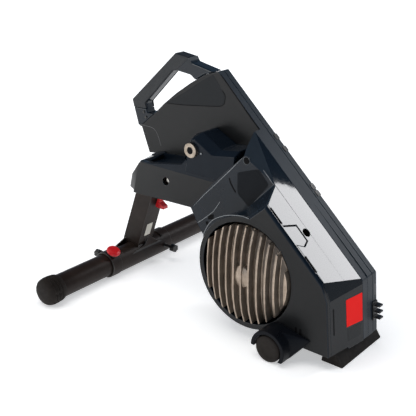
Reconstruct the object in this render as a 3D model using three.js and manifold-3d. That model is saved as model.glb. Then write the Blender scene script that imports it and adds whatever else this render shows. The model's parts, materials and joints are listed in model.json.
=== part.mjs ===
// Direct drive trainer for a bicycle, standing open on the floor.
// Millimetres, +X to the rear of the bike, +Y to the drive side, +Z up.
// While the model is made, X is counted from the bike's axle and Y from the bike's middle plane.
// The last lines move the whole model so that the origin is under the middle of its box.
import * as THREE from 'three';
import { ConvexGeometry } from 'three/addons/geometries/ConvexGeometry.js';
import { mergeVertices } from 'three/addons/utils/BufferGeometryUtils.js';
import Module from 'manifold-3d';

const wasm = await Module();
wasm.setup();

// Clearances and walls shared by all pieces
const gap = 0.35; // between pieces that touch
const overrun = 4; // how far a cut runs past what it cuts
const runningGap = 1.2; // between a fast turning piece and its neighbours
const coverWall = 2.5;
const roundSides = 32;
const smallSides = 16;
const knobSides = 24;
const grooveSides = 8;
const hexSides = 6;

// Axle, sized for a thru axle bike
const axleHeight = 340;
const axleSpacing = 142; // from dropout face to dropout face
const axleTubeRadius = 10;
const axleTubeWall = 2;
const adapterRadius = 15.5;
const adapterBoreRadius = 6;
const adapterLength = 8;
const adapterSpigot = 14;

// Belt case, thin and tall, on the drive side
const caseNearY = 0;
const caseLowNearY = -19; // near face of its lower half, under the unit cover
const casePartingY = 18;
const caseFarY = 23; // far face in front of the cassette
const caseBulgeY = 35; // far face of the thick rear part
const caseReachFront = 204; // axle to front corner
const caseReachRear = 380; // axle to rear face
const caseTopRise = 151; // axle to the top corner
const caseBottomZ = 26;
const caseTopX = 15; // top corner of the slanted rear face
const caseRearZ = 150; // lower end of the slanted rear face
const caseRearLean = 12; // the rear face leans back towards the floor by this much
const cassetteRoom = 80; // radius kept free for the sprockets

// Fluid unit and its cover, on the near side
const unitSetback = 196; // from the rear face to the unit's axis
const unitZ = 142;
const unitCaseRadius = 116;
const unitOpeningRadius = 105;
const unitNearY = -123;
const neckNearY = -64;
const labelTurn = 7.3; // degrees that the rear face turns to the near side
const boxBottomZ = 30;
const boxEdgeRadius = 6.5; // rounding between the near face and the slanted face
const boxEdgeStepCount = 4;
const heelNear = 20; // bevel between the slanted face and the label face, at its near end
const heelFar = 5; // and at the belt case
const boxTopReach = 35; // from the unit's axis to the upper corner of the near face
const boxTopDrop = 30; // from the shoulder down to that corner
const boxShoulderReach = 21; // where the top face of the box meets the neck
const boxFrontReach = 8;
const boxFrontDrop = 54; // from the shoulder down
const neckTopDrop = 91; // from the top corner of the case down to the top of the neck
const neckBendReach = 131.5; // where the near face of the neck starts to slope, at its front edge
const neckBendDrop = 46.5; // from the neck's top down to that place
const neckRidgeReach = 126; // where the slope meets the belt case
const neckRidgeDrop = 11;
const seamDepth = 8; // from the near face to the seam of the two covers
const tabReach = 32; // how far the stepped seam reaches over the slanted face
const tabHalf = 21;
const tabSpread = 20;
const seamWidth = 0.7;
const slotWidth = 3;
const slotLength = 33;
const slotUpperSetback = 135; // from the rear face
const slotLowerSetback = 56;
const coverHoleRadius = 9;
const coverHoleY = -71;

// Finned housing
const finRadius = 101;
const finEdgeY = -130;
const finCrownY = -145;
const finValleyDepth = 15;
const finPitch = 18;
const finThickness = 3.6;
const finCount = 10;
const finFirst = -86; // from the unit axis to the first fin
const finBossRadius = 24;
const housingBackY = -100;
const chamberRadius = 76;
const chamberFrontY = -114;
const backHousingY = -84;
const housingRadius = 98;

// Rotating train
const shaftRadius = 7.5;
const shaftNearY = -117;
const shaftFarY = 20;
const bigPulleyRadius = 95;
const smallPulleyRadius = 14;
const beltNearY = 4.5;
const beltFarY = 15.5;
const beltThickness = 3;
const pulleyHubRadius = 22;
const pulleyHubFarY = 28;
const pulleyWeb = 4;
const pulleyRim = 8;
const pulleyWindowCount = 6;
const bearingWidth = 7;
const hubBearingRadius = 16;
const freehubRadius = 17;
const freehubBoreRadius = 14;
const freehubNearY = 29;
const freehubFarY = 62;
const splineCount = 9;
const splineDepth = 1.4;
const splineWidth = 4;
const flywheelRadius = 78;
const flywheelNearY = -79;
const flywheelFarY = -61;
const impellerRadius = 68;
const impellerNearY = -112;
const impellerFarY = -107;
const vaneCount = 8;
const vaneHeight = 4;
const vaneWidth = 3;
const unitBearingRadius = 16;
const idlerRadius = 14;
const idlerPinRadius = 4;
const idlerShare = 0.52; // place of the idler along the belt's straight run

// Frame plates
const plateThickness = 5;
const plateRoom = 1; // round the plates where they pass through a cover
const leftPlateY = -45;
const armPlateY = -8;
const unitPlateY = -31;
const spacerRadius = 7;
const postRadius = 6;
const postCircle = 88; // radius on which the unit's posts stand
const postAngles = [90, 210, 330];
const crossBarSetback = 25; // from the rear face of the case to the bar's front
const crossBarDepth = 16;
const crossBarBottomZ = 6;
const crossBarTopZ = 21;
const crossBarNearY = -88;
const crossBarFarY = 46;

// Front arm cover
const armNearY = -60;
const armFarY = -1;
const armReachFront = 212;
const armDrop = 137; // axle to the underside
const armRise = 36; // axle to the top of the boss
const armReachRear = 110;
const armLeanDrop = 59; // above this height under the axle the near face leans back
const armLean = 13; // how far it leans back at the top of the boss
const moundRise = 6; // how far the panel round the axle stands in front of the near face
const trayDepth = 5;
const trayNearY = -46;
const traySetback = 77; // from the front of the arm cover
const trayEndX = -38;
const ridgeFrontSetback = 35; // from the front of the arm cover to the ridge before the tray
const ridgeRise = 8; // the ridge's end over the rim of the tray
const noseFarY = 28;
const noseLength = 108;
const nosePanelSetback = 47; // to the front end of the flat near panel
const noseShoulderSetback = 22;
const noseShoulderY = -48;
const noseSideY = -16;
const legPocketRoom = 1; // behind the leg's lug, where the open underside ends

// Handle
const handleReach = 230;
const handleRise = 23; // from the top corner of the case up to the handle's top
const handleHeight = 179;
const handleEndX = 5;
const handleNearY = 0;
const handleFarY = 28;
const handleBarSide = 4; // grip wall over the bar at each side
const handleScrewRadius = 3;
const handleScrewHead = 1.5;

// Front leg
const tubeAhead = 11; // from the front of the arm cover to the tube's axis
const tubeRadius = 26;
const tubeWall = 2.5;
const tubeHalfLength = 290;
const capRadius = 31;
const capEndWall = 5;
const capLength = 45;
const capWall = 4.5;
const capGrooveDepth = 1.6;
const capGrooveWidth = 3.4;
const capGrooveCount = 3;
const capSides = 28;
const saddleRadius = 29.4;
const saddleNearY = -113;
const saddleFarY = 82;
const saddleCollarRadius = 30.6;
const saddleCollarLength = 27;
const saddleMouth = 21; // half width of the open top
const mouthNearY = -72;
const mouthFarY = 56;
const legLean = 19.4; // degrees from upright
const legWidthX = 46;
const legWidthY = 45;
const legWall = 2.5;
const legSetback = 28; // from the front of the arm cover to the leg's middle, at the height below
const legCentreDrop = 161; // axle to that height
const legHeadDrop = 118;
const webTopZ = 72;
const webThickness = 4.5;
const webFootZ = 38;
const pivotAhead = 78; // from the axle
const pivotDrop = 87;
const pivotBoltRadius = 6;
const pivotHeadRadius = 5;
const pivotRecessRadius = 9;
const lugRadius = 15;
const lugNearY = -39;
const lugFarY = -10;

// Plunger, thumb screws and latch
const plungerY = -99;
const plungerLean = 25; // degrees towards the rear
const plungerRadius = 16;
const plungerHeight = 11;
const plungerLift = 1; // knob above the collar
const plungerPinRadius = 3;
const collarRadius = 12;
const collarHeight = 2;
const screwFrontY = -77;
const screwRearY = 57;
const thumbKnobRadius = 9;
const thumbKnobLength = 13;
const thumbLobeCount = 6;
const thumbShaftRadius = 3.5;
const thumbShaftLength = 22;
const washerRadius = 6;
const washerThickness = 2;
const latchPinDrop = 147; // axle to the pin
const latchNearY = -1;
const latchFarY = 14;
const latchPinRadius = 2.5;
const latchDrop = 37;
const latchRise = 6;
const latchThickness = 8;
const latchToe = 17;
const latchSeat = 1.6; // from the leg to the lever
const latchEarThickness = 3;

// Roller, hood and rear foot
const rollerReach = 86; // from the unit's axis
const rollerRadius = 27.5;
const rollerNearY = -167;
const rollerFarY = -127;
const rollerPinRadius = 5;
const rollerRecessRadius = 12;
const rollerRecess = 4;
const hoodRadius = 38;
const hoodBoreRadius = 30;
const hoodNearY = -167;
const hoodBottomZ = 9;
const hoodFrontZ = 26; // lower end of the hood's front
const hoodWingReach = 69; // from the roller's axis to the tip of the wing at the unit
const hoodWingTopZ = 52;
const hoodWingFootReach = 54; // middle of the wing's lower edge
const hoodWingFootZ = 33;
const hoodHeelReach = 35; // lower corner of the wing, near the floor
const hoodHeelZ = 13;
const footNearY = -96;
const footFarY = 53;
const footFrontSetback = 34; // from the rear face of the case
const footRearReach = 13;
const footTopFrontSetback = 30;
const footTopRearSetback = 4;

// Louvres on the rear face
const louvreNearY = 18;
const louvreFarY = 32;
const louvreBottomZ = 54;
const louvreHeight = 38;
const louvreBase = 3;
const louvreReach = 12;
const louvreCount = 3;
const louvreThickness = 3.4;

// Outlines as shares of the box that holds each piece, front lower corner first
const caseOutlineShares = [[0, 0.675], [0.039, 0.548], [0.178, 0.572], [0.192, 0.508], [0.247, 0.434],
  [0.349, 0.383], [0.435, 0.31]];
const caseTopShares = [[0.315, 0.976], [0.247, 0.925], [0.178, 0.865], [0.118, 0.804], [0.065, 0.742]];
const bulgeFrontShares = [[0.447, 0.31], [0.430, 0.43], [0.428, 0.534], [0.418, 0.824],
  [0.365, 0.89], [0.338, 0.984]];
const neckFrontShares = [[-0.0155, 0.497], [0.144, 0.682], [0.245, 0.783], [0.345, 0.876],
  [0.331, 0.92], [0.3195, 0.98]];
const neckFootShares = [[0.171, 0.22], [0.034, 0.412]];
// The arm's outline is counted from the axle, in shares of its reach in front or behind
const armOutlineShares = [[-0.9666, 0.006], [-1, 0.06], [-0.9575, 0.155], [-0.7123, 0.468],
  [-0.571, 0.468], [-0.163, 0.556], [-0.113, 0.63], [-0.0659, 0.85], [-0.0097, 0.965], [0.1277, 1], [0.599, 0.85],
  [1.0088, 0.884], [0.9561, 0.68], [0.5463, 0.4], [-0.0127, 0.05]];
// The panel round the axle: its upper crease, its foot and its rear end on the arm's outline
const moundCreaseShares = [[-0.0094, 0.916], [0.0727, 0.927], [0.481, 0.776], [0.986, 0.829]];
const moundFootShares = [[-0.104, 0.486], [0.481, 0.487], [0.655, 0.487]];
const moundRearShare = [0.94, 0.68];
const handleOutlineShares = [[0.068, 0.034], [0, 0.335], [0.553, 1], [0.715, 0.972], [0.74, 0.922],
  [1, 0.855], [0.894, 0.754], [0.783, 0.72], [0.728, 0.771], [0.562, 0.793], [0.515, 0.782],
  [0.17, 0.324], [0.192, 0.201], [0.298, 0.207], [0.128, 0]];
const gripCutShares = [[-0.1, 0.235], [0.2, 0.25], [0.2, 0.3], [0.515, 0.7], [0.562, 0.79],
  [0.725, 0.985], [0.7, 1.1], [0.5, 1.1], [-0.1, 0.45]];
const gripBarShares = [[0.03, 0.2], [0.192, 0.2], [0.17, 0.324], [0.515, 0.782], [0.562, 0.793],
  [0.65, 0.785], [0.72, 0.9], [0.53, 0.9], [0.06, 0.36]];
const leftPlateShares = [[0.005, 0.635], [0.005, 0.745], [0.172, 0.769], [0.192, 0.839],
  [0.2015, 0.933], [0.21, 0.968], [0.237, 1], [0.278, 0.994], [0.36, 0.933], [0.44, 0.88],
  [0.56, 0.868], [0.67, 0.766], [0.8, 0.617], [0.93, 0.43], [0.985, 0.301], [0.985, 0.001],
  [0.956, 0.001], [0.9, 0.22], [0.75, 0.151], [0.6, 0.151], [0.43, 0.183], [0.4, 0.382],
  [0.32, 0.597], [0.2, 0.629]];
const armPlateShares = [[0.005, 0.635], [0.005, 0.745], [0.172, 0.769], [0.192, 0.839],
  [0.2015, 0.933], [0.21, 0.968], [0.237, 1], [0.278, 0.994], [0.35, 0.904], [0.29, 0.705],
  [0.2, 0.629]];
const unitPlateShares = [[0.5, 0.651], [0.6, 0.775], [0.67, 0.764], [0.8, 0.617], [0.93, 0.43],
  [0.985, 0.301], [0.985, 0.001], [0.956, 0.001], [0.9, 0.22], [0.75, 0.151], [0.55, 0.167],
  [0.46, 0.409]];
const spacerShares = [[0.184, 0.659], [0.278, 0.816], [0.65, 0.678], [0.86, 0.301]];
const handleScrewShares = [[0.153, 0.207], [0.179, 0.145]];
const webFrontShares = [[-1, 0], [-1, 0.15], [-0.7, 0.44], [-0.1, 0.86], [0.1, 0.86], [0.6, 0.44],
  [0.8, 0.15], [0.8, 0]];
const webRearShares = [[-0.76, 0], [-0.72, 0.12], [-0.4, 0.29], [-0.1, 0.42], [0.1, 1], [0.5, 0.35],
  [0.75, 0.12], [0.8, 0]];
const pointsBeforeTrayCount = 4; // of the arm outline
const plateFrontReach = 112; // ahead of the axle
const plateRearSetback = 2; // from the rear face of the case
const plateRise = 23; // above the axle
const lugShares = [[-0.03, 0.04], [0, 0.24], [0.28, 0.8], [0.5, 0.95], [0.62, -0.05], [0.3, -0.2]];

// Finishes, one for each kind of surface
const finishes = {
  panel: { color: 0x3a3836, roughness: 0.42, metalness: 0.0 },
  gloss: { color: 0x1b2430, roughness: 0.22, metalness: 0.0 },
  softGrip: { color: 0x23262a, roughness: 0.75, metalness: 0.0 },
  castAluminium: { color: 0x7a6f60, roughness: 0.45, metalness: 0.8 },
  darkSteel: { color: 0x2b2623, roughness: 0.55, metalness: 0.4 },
  brightSteel: { color: 0xc8c2b8, roughness: 0.3, metalness: 1.0 },
  machined: { color: 0xa8a8a6, roughness: 0.35, metalness: 1.0 },
  rubber: { color: 0x2a2420, roughness: 0.8, metalness: 0.0 },
  blackPlastic: { color: 0x141416, roughness: 0.5, metalness: 0.0 },
  redPlastic: { color: 0xc8282d, roughness: 0.4, metalness: 0.0 },
  bronze: { color: 0xb08a4a, roughness: 0.4, metalness: 1.0 },
};

const model = new THREE.Group();

// Helpers: from three.js geometry to a solid and back
function solidOf(geometry) {
  const bare = geometry.clone();
  bare.deleteAttribute('normal');
  bare.deleteAttribute('uv');
  const merged = mergeVertices(bare, gap / 1000);
  return new wasm.Manifold(new wasm.Mesh({
    numProp: 3,
    vertProperties: new Float32Array(merged.attributes.position.array),
    triVerts: new Uint32Array(merged.index.array),
  }));
}

function geometryOf(solid) {
  const mesh = solid.getMesh();
  const geometry = new THREE.BufferGeometry();
  geometry.setAttribute('position', new THREE.BufferAttribute(mesh.vertProperties, 3));
  geometry.setIndex(new THREE.BufferAttribute(mesh.triVerts, 1));
  geometry.computeVertexNormals();
  return geometry;
}

function add(name, finish, solid) {
  const mesh = new THREE.Mesh(geometryOf(solid), new THREE.MeshStandardMaterial(finishes[finish]));
  mesh.name = name;
  model.add(mesh);
  return mesh;
}

function join(solids) {
  return solids.reduce((all, next) => all.add(next));
}

// A flat outline in X and Z, drawn out along Y
function prism(points, nearY, farY) {
  const shape = new THREE.Shape(points.map(([x, z]) => new THREE.Vector2(x, z)));
  const geometry = new THREE.ExtrudeGeometry(shape, { depth: farY - nearY, bevelEnabled: false });
  geometry.rotateX(Math.PI / 2);
  geometry.translate(0, farY, 0);
  return solidOf(geometry);
}

function block(x0, x1, y0, y1, z0, z1) {
  const geometry = new THREE.BoxGeometry(x1 - x0, y1 - y0, z1 - z0);
  geometry.translate((x0 + x1) / 2, (y0 + y1) / 2, (z0 + z1) / 2);
  return solidOf(geometry);
}

// A round bar along Y
function rod(x, z, radius, nearY, farY, sides = roundSides) {
  const geometry = new THREE.CylinderGeometry(radius, radius, farY - nearY, sides);
  geometry.translate(x, (nearY + farY) / 2, z);
  return solidOf(geometry);
}

function ring(x, z, outer, inner, nearY, farY, sides = roundSides) {
  return rod(x, z, outer, nearY, farY, sides)
    .subtract(rod(x, z, inner, nearY - overrun, farY + overrun, sides));
}

// A turned piece about an axis along Y, from points of radius and Y, in order of rising Y
function turned(x, z, points, sides = roundSides) {
  const geometry = new THREE.LatheGeometry(points.map(([r, y]) => new THREE.Vector2(r, y)), sides);
  geometry.translate(x, 0, z);
  return solidOf(geometry);
}

// A bar between two points
function bar(from, to, radius, sides = smallSides) {
  const start = new THREE.Vector3(...from);
  const along = new THREE.Vector3(...to).sub(start);
  const geometry = new THREE.CylinderGeometry(radius, radius, along.length(), sides);
  geometry.translate(0, along.length() / 2, 0);
  geometry.applyQuaternion(new THREE.Quaternion().setFromUnitVectors(
    new THREE.Vector3(0, 1, 0), along.clone().normalize()));
  geometry.translate(...from);
  return solidOf(geometry);
}

// Takes away everything on the outer side of a plane
function trim(solid, point, normal, reach) {
  const side = new THREE.BoxGeometry(2 * reach, 2 * reach, reach);
  side.translate(0, 0, reach / 2);
  side.applyQuaternion(new THREE.Quaternion().setFromUnitVectors(
    new THREE.Vector3(0, 0, 1), new THREE.Vector3(...normal).normalize()));
  side.translate(...point);
  return solid.subtract(solidOf(side));
}

function fromShares(shares, x, z, length, height) {
  return shares.map(([u, w]) => [x + u * length, z + w * height]);
}

function arc(x, z, radius, startDegrees, endDegrees, steps) {
  return Array.from({ length: steps + 1 }, (unused, i) => {
    const angle = THREE.MathUtils.degToRad(startDegrees + (endDegrees - startDegrees) * i / steps);
    return [x + radius * Math.cos(angle), z + radius * Math.sin(angle)];
  });
}

// Moves every side of an outline inwards by the same distance
function inset(points, distance) {
  const area = points.reduce((sum, [x, z], i) => {
    const [nx, nz] = points[(i + 1) % points.length];
    return sum + x * nz - nx * z;
  }, 0);
  const turn = Math.sign(area);
  const sides = points.map(([x, z], i) => {
    const [nx, nz] = points[(i + 1) % points.length];
    const length = Math.hypot(nx - x, nz - z);
    const [dx, dz] = [(nx - x) / length, (nz - z) / length];
    return { x: x - dz * distance * turn, z: z + dx * distance * turn, dx, dz };
  });
  return sides.map((side, i) => {
    const before = sides[(i + sides.length - 1) % sides.length];
    const cross = before.dx * side.dz - before.dz * side.dx;
    const t = ((side.x - before.x) * side.dz - (side.z - before.z) * side.dx) / cross;
    return [before.x + before.dx * t, before.z + before.dz * t];
  });
}

// Places that several pieces share
const caseFrontX = -caseReachFront;
const caseTopZ = axleHeight + caseTopRise;
const caseLength = caseReachRear + caseReachFront;
const rearLeanSlope = caseRearLean / (caseRearZ - caseBottomZ);
const rearX = (z) => caseReachRear + (caseRearZ - z) * rearLeanSlope;
const caseHeight = caseTopZ - caseBottomZ;
const rearSlope = (caseTopZ - caseRearZ) / (caseReachRear - caseTopX);
const slopeZ = (x) => caseTopZ - (x - caseTopX) * rearSlope;
const slopeNormal = [rearSlope, 0, 1];
const unitX = caseReachRear - unitSetback;
const boxTopX = unitX + boxTopReach;
const boxShoulderX = unitX + boxShoulderReach;
const boxShoulderZ = slopeZ(boxShoulderX);
const boxTopZ = boxShoulderZ - boxTopDrop;
const boxFrontX = unitX + boxFrontReach;
const boxFrontZ = boxShoulderZ - boxFrontDrop;
const neckTopZ = caseTopZ - neckTopDrop;
const slotUpperX = caseReachRear - slotUpperSetback;
const slotLowerX = caseReachRear - slotLowerSetback;
const armBottomZ = axleHeight - armDrop;
const armTopZ = axleHeight + armRise;
const armLeanZ = axleHeight - armLeanDrop;
const trayStartX = -armReachFront + traySetback;
const nosePanelX = -armReachFront + nosePanelSetback;
const noseShoulderX = -armReachFront + noseShoulderSetback;
const handleTopZ = caseTopZ + handleRise;
const handleFootZ = handleTopZ - handleHeight;
const tubeX = -armReachFront - tubeAhead;
const capFaceY = tubeHalfLength + capEndWall;
const legCentreX = -armReachFront + legSetback;
const legCentreZ = axleHeight - legCentreDrop;
const legHeadZ = axleHeight - legHeadDrop;
const pivotX = -pivotAhead;
const pivotZ = axleHeight - pivotDrop;
const latchPinZ = axleHeight - latchPinDrop;
const noseEndX = -armReachFront + noseLength;
const legPocketEndX = pivotX + lugRadius + legPocketRoom;
const rollerX = unitX + rollerReach;
const crossBarFrontX = caseReachRear - crossBarSetback;
const crossBarRearX = crossBarFrontX + crossBarDepth;
const footFrontX = caseReachRear - footFrontSetback;
const footRearX = caseReachRear + footRearReach;
const footTopFrontX = caseReachRear - footTopFrontSetback;
const footTopRearX = caseReachRear - footTopRearSetback;
const unitArc = arc(unitX, unitZ, unitCaseRadius, 262, 198, 8);

const caseOutline = [
  ...fromShares(caseOutlineShares, caseFrontX, caseBottomZ, caseLength, caseHeight),
  ...arc(unitX, unitZ, unitCaseRadius, 168, 262, 10),
  [unitX, caseBottomZ],
  [rearX(caseBottomZ), caseBottomZ],
  [caseReachRear, caseRearZ],
  [caseTopX, caseTopZ],
  ...fromShares(caseTopShares, caseFrontX, caseBottomZ, caseLength, caseHeight),
];
const bulgeLine = fromShares(bulgeFrontShares, caseFrontX, caseBottomZ, caseLength, caseHeight);
const bulgeLowOutline = [
  [caseFrontX - overrun, caseBottomZ - overrun],
  [bulgeLine[0][0], caseBottomZ - overrun],
  ...bulgeLine,
  [bulgeLine[bulgeLine.length - 1][0], caseTopZ + overrun],
  [caseFrontX - overrun, caseTopZ + overrun],
];
const neckHeight = neckTopZ - caseBottomZ;
const neckOutline = [
  ...fromShares(neckFrontShares, 0, caseBottomZ, caseReachRear, neckHeight),
  [caseReachRear, caseRearZ],
  [rearX(caseBottomZ), caseBottomZ],
  [unitX, caseBottomZ],
  ...unitArc,
  ...fromShares(neckFootShares, 0, caseBottomZ, caseReachRear, neckHeight),
];
const boxOutline = [
  [unitX, unitZ],
  [boxFrontX - unitCaseRadius / 3, boxFrontZ],
  [boxShoulderX, slopeZ(boxShoulderX)],
  [caseReachRear, caseRearZ],
  [rearX(boxBottomZ), boxBottomZ],
  [boxTopX, boxBottomZ],
];

// Belt case, with room for the big pulley and its belt
const pulleyRoom = bigPulleyRadius + beltThickness + runningGap + coverWall;

function caseNearBody(shrink) {
  const openEnd = shrink ? casePartingY + overrun : casePartingY - gap / 2;
  return prism(inset(caseOutline, shrink), caseNearY + shrink, openEnd)
    .add(rod(0, axleHeight, pulleyRoom - shrink, caseNearY + shrink, openEnd))
    .add(prism(inset(neckOutline, shrink + gap), caseLowNearY + shrink,
      caseNearY + shrink + overrun / 2));
}

function beltCoverNear() {
  return caseNearBody(0)
    .subtract(caseNearBody(coverWall))
    .subtract(rod(0, axleHeight, axleTubeRadius + gap, caseNearY - overrun, casePartingY))
    .subtract(rod(unitX, unitZ, shaftRadius + runningGap, caseLowNearY - overrun, casePartingY));
}

function caseFarBody(shrink) {
  const openEnd = casePartingY + (shrink ? -overrun : gap / 2);
  const lowY = caseFarY - shrink;
  return prism(inset(caseOutline, shrink), openEnd, caseBulgeY - shrink)
    .add(rod(0, axleHeight, pulleyRoom - shrink, openEnd, caseFarY - shrink))
    .subtract(prism(inset(bulgeLowOutline, -shrink), lowY, caseBulgeY + overrun))
    .subtract(rod(0, axleHeight, cassetteRoom + shrink, lowY, caseBulgeY + overrun, 2 * roundSides));
}

function beltCoverFar() {
  return caseFarBody(0)
    .subtract(caseFarBody(coverWall))
    .subtract(rod(0, axleHeight, pulleyHubRadius + 2 * runningGap, casePartingY - overrun,
      caseFarY + overrun));
}

// Unit cover
const labelAngle = THREE.MathUtils.degToRad(labelTurn);
const unitFarY = caseLowNearY - gap;

function unitBody(shrink) {
  const reach = caseLength;
  const far = unitFarY + (shrink ? overrun : 0);
  const neck = prism(inset(neckOutline, shrink), neckNearY + shrink, far);
  const bend = new THREE.Vector3(neckBendReach, neckNearY, neckTopZ - neckBendDrop);
  const shoulder = new THREE.Vector3(boxShoulderX, neckNearY, boxShoulderZ);
  const ridge = new THREE.Vector3(neckRidgeReach, caseLowNearY, neckTopZ - neckRidgeDrop);
  const slope = shoulder.clone().sub(bend).cross(ridge.sub(bend)).normalize();
  const sloped = bend.addScaledVector(slope, -shrink);
  const leaned = trim(neck, sloped.toArray(), slope.toArray(), reach);
  const box = prism(inset(boxOutline, shrink), unitNearY + shrink, neckNearY + shrink + overrun);
  const edge = new THREE.Vector3(boxTopX - boxFrontX, 0, boxTopZ - boxFrontZ);
  const rise = new THREE.Vector3(boxShoulderX - boxTopX, neckNearY - unitNearY,
    boxShoulderZ - boxTopZ);
  const normal = edge.cross(rise).normalize();
  const top = new THREE.Vector3(boxTopX, unitNearY, boxTopZ).addScaledVector(normal, -shrink);
  const boxed = trim(box, top.toArray(), normal.toArray(), reach);
  const drum = rod(unitX, unitZ, unitCaseRadius - shrink, unitNearY + shrink,
    neckNearY + shrink + overrun, 2 * roundSides);
  const whole = join([leaned, boxed, drum]);
  const label = new THREE.Vector3(1, -Math.tan(labelAngle), rearLeanSlope).normalize();
  const labelled = trim(whole, [caseReachRear - shrink, caseLowNearY, caseRearZ], label.toArray(), reach);
  return edgeTrims(labelled, shrink, reach);
}

// The long near edge of the slanted face is rounded, and its foot is bevelled
function edgeTrims(solid, shrink, reach) {
  const near = new THREE.Vector3(0, -1, 0);
  const slanted = new THREE.Vector3(...slopeNormal).normalize();
  const centre = new THREE.Vector3(caseTopX, unitNearY, caseTopZ)
    .addScaledVector(near, -boxEdgeRadius)
    .addScaledVector(slanted, -boxEdgeRadius);
  let rounded = solid;
  for (let i = 1; i <= boxEdgeStepCount; i += 1) {
    const turn = Math.PI / 2 * i / (boxEdgeStepCount + 1);
    const normal = near.clone().multiplyScalar(Math.cos(turn))
      .addScaledVector(slanted, Math.sin(turn));
    const touch = centre.clone().addScaledVector(normal, boxEdgeRadius - shrink);
    rounded = trim(rounded, touch.toArray(), normal.toArray(), reach);
  }
  const heel = heelPlane();
  const foot = heel.point.addScaledVector(heel.normal, -shrink);
  return trim(rounded, foot.toArray(), heel.normal.toArray(), reach);
}

function heelPlane() {
  const slopeTurn = Math.atan(rearSlope);
  const cornerX = caseReachRear - (caseLowNearY - unitNearY) * Math.tan(labelAngle);
  const cornerZ = slopeZ(cornerX);
  const upper = new THREE.Vector3(cornerX - heelNear * Math.cos(slopeTurn), unitNearY,
    cornerZ + heelNear * Math.sin(slopeTurn));
  const lower = new THREE.Vector3(cornerX, unitNearY, cornerZ - heelNear);
  const point = new THREE.Vector3(caseReachRear, caseLowNearY, caseRearZ - heelFar);
  const normal = lower.clone().sub(upper).cross(point.clone().sub(upper)).normalize();
  return { point, normal };
}

function onSlope(x, y, lift = 0) {
  const normal = new THREE.Vector3(...slopeNormal).normalize();
  return new THREE.Vector3(x, y, slopeZ(x)).addScaledVector(normal, lift).toArray();
}

function slopeSlot(x, y) {
  const along = new THREE.Vector3(1, 0, -rearSlope).normalize();
  const geometry = new THREE.BoxGeometry(slotLength, slotWidth, 4 * coverWall);
  geometry.rotateY(Math.atan2(-along.z, along.x));
  geometry.translate(...onSlope(x, y));
  return solidOf(geometry);
}

// The near cover takes everything in front of the seam, with a tab over the slanted face
const seamY = unitNearY + seamDepth;
const tabCentreX = (slotUpperX + slotLowerX) / 2;

function seamTool(grow) {
  const front = block(caseFrontX, caseReachRear + overrun, unitNearY - overrun, seamY + grow,
    caseBottomZ - overrun, neckTopZ);
  const tab = new THREE.Shape([
    new THREE.Vector2(-tabHalf - tabSpread / 2, 0),
    new THREE.Vector2(-tabHalf, tabReach),
    new THREE.Vector2(tabHalf - tabSpread / 3, tabReach),
    new THREE.Vector2(tabHalf, tabReach / 2),
    new THREE.Vector2(tabHalf - tabSpread / 2, 0),
    new THREE.Vector2(tabHalf - tabSpread / 2, -seamDepth),
    new THREE.Vector2(-tabHalf - tabSpread / 2, -seamDepth),
  ].map((point) => point.multiplyScalar(1 + 2 * grow / tabHalf)));
  const geometry = new THREE.ExtrudeGeometry(tab, { depth: 6 * coverWall, bevelEnabled: false });
  geometry.translate(0, 0, -3 * coverWall);
  geometry.rotateY(Math.atan2(rearSlope, 1));
  geometry.translate(...onSlope(tabCentreX, seamY));
  return front.add(solidOf(geometry));
}

function unitShell() {
  const hole = onSlope(tabCentreX, coverHoleY);
  const way = (shares, y) => prism(inset(plate(shares), -plateRoom), y - plateRoom,
    y + plateThickness + plateRoom);
  return unitBody(0)
    .subtract(unitBody(coverWall))
    .subtract(rod(unitX, unitZ, unitOpeningRadius, unitNearY - overrun, unitNearY + 2 * coverWall,
      2 * roundSides))
    .subtract(slopeSlot(slotUpperX, seamY))
    .subtract(slopeSlot(slotLowerX, seamY))
    .subtract(bar(onSlope(tabCentreX, coverHoleY, -2 * coverWall),
      onSlope(tabCentreX, coverHoleY, 2 * coverWall), coverHoleRadius))
    .subtract(way(leftPlateShares, leftPlateY))
    .subtract(way(unitPlateShares, unitPlateY));
}

// Front arm cover
const armLength = armReachFront + armReachRear;
const armPlace = ([u, w]) => [
  u * (u < 0 ? armReachFront : armReachRear), armBottomZ + w * (armTopZ - armBottomZ)];
const armOutline = armOutlineShares.map(armPlace);
const [trayLow, trayHigh] = [armOutline[pointsBeforeTrayCount], armOutline[pointsBeforeTrayCount + 1]];
const trayRise = (trayHigh[1] - trayLow[1]) / (trayHigh[0] - trayLow[0]);
const armTrayZ = (x) => trayLow[1] + (x - trayLow[0]) * trayRise;
const neckGuard = prism(inset(neckOutline, -gap), neckNearY - overrun, caseNearY + overrun);

function noseTrims(solid, shrink) {
  const reach = armLength;
  const noseTilt = (armReachFront + noseShoulderX) / (armTopZ - armLeanZ);
  const first = [-(noseShoulderY - armNearY), nosePanelX - noseShoulderX, 0];
  const second = [-(noseSideY - noseShoulderY), noseShoulderX + armReachFront, 0];
  const tilt = ([x, y]) => [x, -y, -x * noseTilt];
  const middleZ = (armBottomZ + armLeanZ) / 2;
  const once = trim(solid, [nosePanelX + shrink, armNearY + shrink / 2, middleZ], tilt(first), reach);
  return trim(once, [noseShoulderX + shrink, noseShoulderY + shrink / 2, middleZ], tilt(second), reach);
}

function armBody(shrink) {
  const reach = armLength;
  const far = armFarY + (shrink ? overrun : 0);
  const plain = prism(inset(armOutline, shrink), armNearY + shrink, far);
  const lean = [0, -(armTopZ - armLeanZ), armLean];
  const leaned = trim(plain, [0, armNearY + shrink, armLeanZ], lean, reach);
  const [start, end] = [trayStartX - shrink, trayEndX + shrink];
  const floor = (x) => armTrayZ(x) - trayDepth - shrink;
  const tray = prism([
    [start, floor(start)],
    [start, armTopZ],
    [end, armTopZ],
    [end, floor(end)],
  ], trayNearY - shrink, far + overrun);
  return noseTrims(leaned.subtract(tray), shrink);
}

function hullOf(points) {
  return solidOf(new ConvexGeometry(points.map((point) => new THREE.Vector3(...point))));
}

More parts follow.
